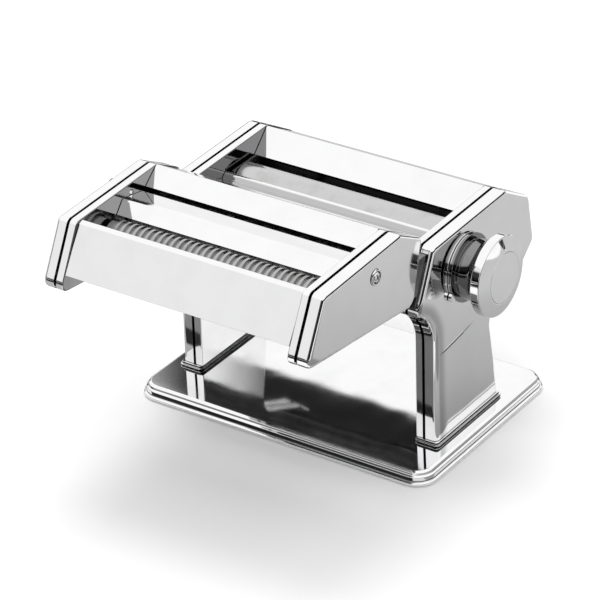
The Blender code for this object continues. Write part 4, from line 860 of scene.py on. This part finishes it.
# %% The screws
HEAD_SHAPE = ((0, 1.3), (1.6, 1.22), (2.7, 0.95), (3.15, 0.45), (3.2, 0.05), (3.6, 0.05), (3.9, 0.75),
              (4.5, 0.7), (5.2, 0.12), (5.2, 0))
SHANK, SHANK_END = 1.7, INNER + 0.3
CROSS_REACH, CROSS_HALF_WIDTH, CROSS_TURN = 2.1, 0.42, Matrix.Rotation(math.radians(20), 3, "X")
RECESS_IN, RECESS_OUT = 3.15, 3.75

for side_name, side in SIDES:
    rim = COVER_FACE + 0.3
    y, z = SCREWS[side_name]
    shape = [(radius, rim + lift) for radius, lift in HEAD_SHAPE]
    shape += [(SHANK, rim), (SHANK, SHANK_END), (0, SHANK_END)]
    screw = turned(f"{side_name}_cross_screw", [(radius, side * x) for radius, x in shape], (y, z),
                   chrome_turned, steps=64, rounding=0.1)
    grooves = []
    for half_y, half_z in ((CROSS_REACH, CROSS_HALF_WIDTH), (CROSS_HALF_WIDTH, CROSS_REACH)):
        x_low, x_high = sorted((side * (rim + 0.35), side * (rim + 2)))
        groove = box((x_low, -half_y, -half_z), (x_high, half_y, half_z))
        bmesh.ops.rotate(groove, cent=(0, 0, 0), matrix=CROSS_TURN, verts=groove.verts)
        bmesh.ops.translate(groove, vec=(0, y, z), verts=groove.verts)
        grooves.append(groove)
    polish(cut(screw, *grooves, walls=rubber), 0)
    # Painted shade: the recess between the head and its washer takes the black rubber finish.
    dark = [m.name for m in screw.data.materials].index(rubber.name)
    for face in screw.data.polygons:
        middle = face.center / MM - SHIFT / MM
        reach = Vector((middle.y - y, middle.z - z)).length
        if RECESS_IN < reach < RECESS_OUT and abs(middle.x) < rim + 0.5:
            face.material_index = dark
    carry(screw, "cutter_head", f"{side_name}_head_screw", slot="steel")

# %% [markdown]
# The knob's spring is a real coil, copied from the model's own spring. On the real machine it is squeezed
# against the shaft's head when the knob is pulled out.

# %% The spring
spring = frame["nodes"]["dial_spring"]
work = bmesh.new()
work.from_mesh(spring.data)
work.transform(spring.matrix_world)
bmesh.ops.remove_doubles(work, verts=work.verts, dist=1e-6)
coil = as_object("knob_coil", work, machined)
carry(coil, body_of(spring)[0], "dial_spring", slot="gears")
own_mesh(coil)

# %% [markdown]
# The other solids of the model have the shape of the real pieces: gears, shafts, combs, hooks and rails.
# They stay, and only take a finish.

# %% Finishes for the solids that stay
slot_of = {part["node"]: part["material_slot"] for part in frame["record"]["subparts"]}
finish_of = {"chrome": chrome, "rollers": ground, "gears": machined, "steel": fitting, "bush": bearing,
             "rubber": rubber}
# Painted shade: combs, scrapers, rails, hooks and end guides take the dark shaded steel.
in_painted_shade = ("comb", "scraper", "rail", "hook", "end_guide")
for name, solid in frame["nodes"].items():
    finish = shaded if any(word in name for word in in_painted_shade) else finish_of[slot_of[name]]
    solid.data.materials.clear()
    solid.data.materials.append(finish)
print(len(frame["nodes"]), "solids have a finish")

# %% [markdown]
# Mirror metal shows the room more than itself. The room here is a wide, soft, pale sky with a dark band
# at the horizon, which draws a thin dark line along every rounded edge, and with a dark panel low on its
# right. The floor is white to the eye and in the reflections, and a little darker where it only bounces
# light. Grey mats lie beside and behind the machine, and dark cards in front of it and behind it:
# photographers set them so that bright metal does not vanish into the white. Only mirrors see them; the
# eye, the bounced light and the shadows do not, so what they show is painted reflection. The dark and
# shade strips just before the base are painted shadow: they stand for the shadow at the base's front as
# the metal sees it. A weak lamp behind on the left gives the floor its soft shadow.

# %% The room
world = bpy.data.worlds.new("room")
bpy.context.scene.world = world
world.use_nodes = True
sky = Signal(world.node_tree)
direction = sky.node("ShaderNodeTexCoord", output=0)
east, north, height = xyz(direction)
SKY_LEVEL, FRONT_LOSS, BOUNCED_LEVEL = 1.06, 0.16, 1.0


def seen_in_metal(tree):
    """1 for what the eye, a mirror or glass sees, and 0 for light that is only bounced."""
    return sum((tree.node("ShaderNodeLightPath", output=k) for k in (0, 3, 6)), 0) > 0.5


horizon = 1 - between(height, 0.10, 0.22)
side_card = between(east, 0.25, 0.40) * (1 - between(height, 0.36, 0.46))
low_in_front = between(0 - north, 0.0, 0.6) * (1 - between(height, 0.42, 0.62))
daylight = SKY_LEVEL - FRONT_LOSS * low_in_front
room_level = daylight * (1 - 0.95 * horizon) * (1 - 0.96 * side_card)
level = sky.node("ShaderNodeMix", None, {"Factor": seen_in_metal(sky), "A": BOUNCED_LEVEL, "B": room_level})
connect(sky, level, world.node_tree.nodes["Background"].inputs["Strength"])
world.node_tree.nodes["Background"].inputs["Color"].default_value = (1, 1, 1, 1)


def flat_stage(name, material, low, high, upright=False):
    """A rectangle from low to high, in millimetres; it belongs to the studio, not to the machine."""
    work = bmesh.new()
    bmesh.ops.create_grid(work, x_segments=1, y_segments=1, size=0.5)
    if upright:
        standing = Matrix.Rotation(math.pi / 2, 3, "X")
        bmesh.ops.rotate(work, cent=(0, 0, 0), matrix=standing, verts=work.verts)
    low, high = Vector(low), Vector(high)
    bmesh.ops.scale(work, vec=high - low, verts=work.verts)
    bmesh.ops.translate(work, vec=(low + high) / 2, verts=work.verts)
    flat = live(name, work, material)
    return flat


floor_material = bpy.data.materials.new("studio_floor")
floor_material.use_nodes = True
tree = Signal(floor_material.node_tree)
floor_material.node_tree.nodes.remove(floor_material.node_tree.nodes["Principled BSDF"])
dull = tree.node("ShaderNodeBsdfDiffuse", None, {"Color": (0.5, 0.5, 0.5, 1)})
pale = tree.node("ShaderNodeBsdfDiffuse", None, {"Color": (0.98, 0.98, 0.98, 1)})
surface = tree.node("ShaderNodeMixShader", None, {0: seen_in_metal(tree), 1: dull, 2: pale})
connect(tree, surface, floor_material.node_tree.nodes["Material Output"].inputs["Surface"])
flat_stage("floor", floor_material, (-30000, -30000, 0), (30000, 30000, 0))

grey_cloth, tree, shader = new_finish("grey_mat_cloth")
place = tree.node("ShaderNodeTexCoord", output=3)
across, back = [part * 1000 for part in xyz(place)[:2]]
lighter = between((across * across) ** 0.5 + back, 250.0, 480.0)
cloth = tree.node("ShaderNodeMix", {"data_type": "RGBA"}, {
    "Factor": lighter, 6: (0.41, 0.41, 0.41, 1), 7: (0.49, 0.49, 0.49, 1)}, output=2)
connect(tree, cloth, shader.inputs["Base Color"])
shader.inputs["Roughness"].default_value = 1.0
dark_card = moulded_finish("dark_card", (0.03, 0.03, 0.03), 0.9, 3.0, 0.0)
dark_card.node_tree.nodes["Principled BSDF"].inputs["Specular IOR Level"].default_value = 0
shade_card = moulded_finish("shade_card", (0.23, 0.23, 0.23), 0.9, 3.0, 0.0)
soft_card, tree, shader = new_finish("dark_card_with_soft_edges")
place = tree.node("ShaderNodeTexCoord", output=3)
across, _, up = [part * 1000 for part in xyz(place)]
kept = between(across, -340.0, -220.0) * (1 - between(across, -30.0, 60.0))
connect(tree, kept * between(up, 116.0, 121.0) * (1 - between(up, 160.0, 180.0)), shader.inputs["Alpha"])
shader.inputs["Base Color"].default_value = (0.02, 0.02, 0.02, 1)
shader.inputs["Specular IOR Level"].default_value = 0
MAT, STRIP, CARD = 0.4, 0.6, 0.8
cards = (flat_stage("grey_mat_right", grey_cloth, (112, -60, MAT), (1500, 1500, MAT)),
         flat_stage("grey_mat_left", grey_cloth, (-1500, -1500, MAT), (-112, 1500, MAT)),
         flat_stage("grey_mat_behind", grey_cloth, (-112, 150, MAT), (112, 1500, MAT)),
         flat_stage("dark_card_in_front", dark_card, (-3000, -5000, CARD), (3000, -460, CARD)),
         flat_stage("shade_card_front_right", shade_card, (185, -460, CARD), (900, 92, CARD)),
         flat_stage("dark_strip_before_the_base", dark_card, (-150, -20, STRIP), (98, -2.5, STRIP)),
         flat_stage("shade_strip_before_the_base", shade_card, (-150, -118, STRIP), (98, -20, STRIP)),
         flat_stage("dark_strip_behind", soft_card, (-350, 205, 114), (70, 205, 182), upright=True))
for flat in cards:
    flat.visible_camera = flat.visible_diffuse = flat.visible_shadow = False

lamp = bpy.data.objects.new("soft_lamp", bpy.data.lights.new("soft_lamp", "AREA"))
bpy.context.scene.collection.objects.link(lamp)
lamp.data.shape = "DISK"
lamp.data.size = 1.6
lamp.data.energy = 36.0
lamp.location = (-0.85, 0.95, 3.5)
aim = Vector((0, 0.02, 0.05)) - lamp.location
lamp.rotation_euler = aim.to_track_quat("-Z", "Y").to_euler()
lamp.visible_glossy = False
print("the room is ready")
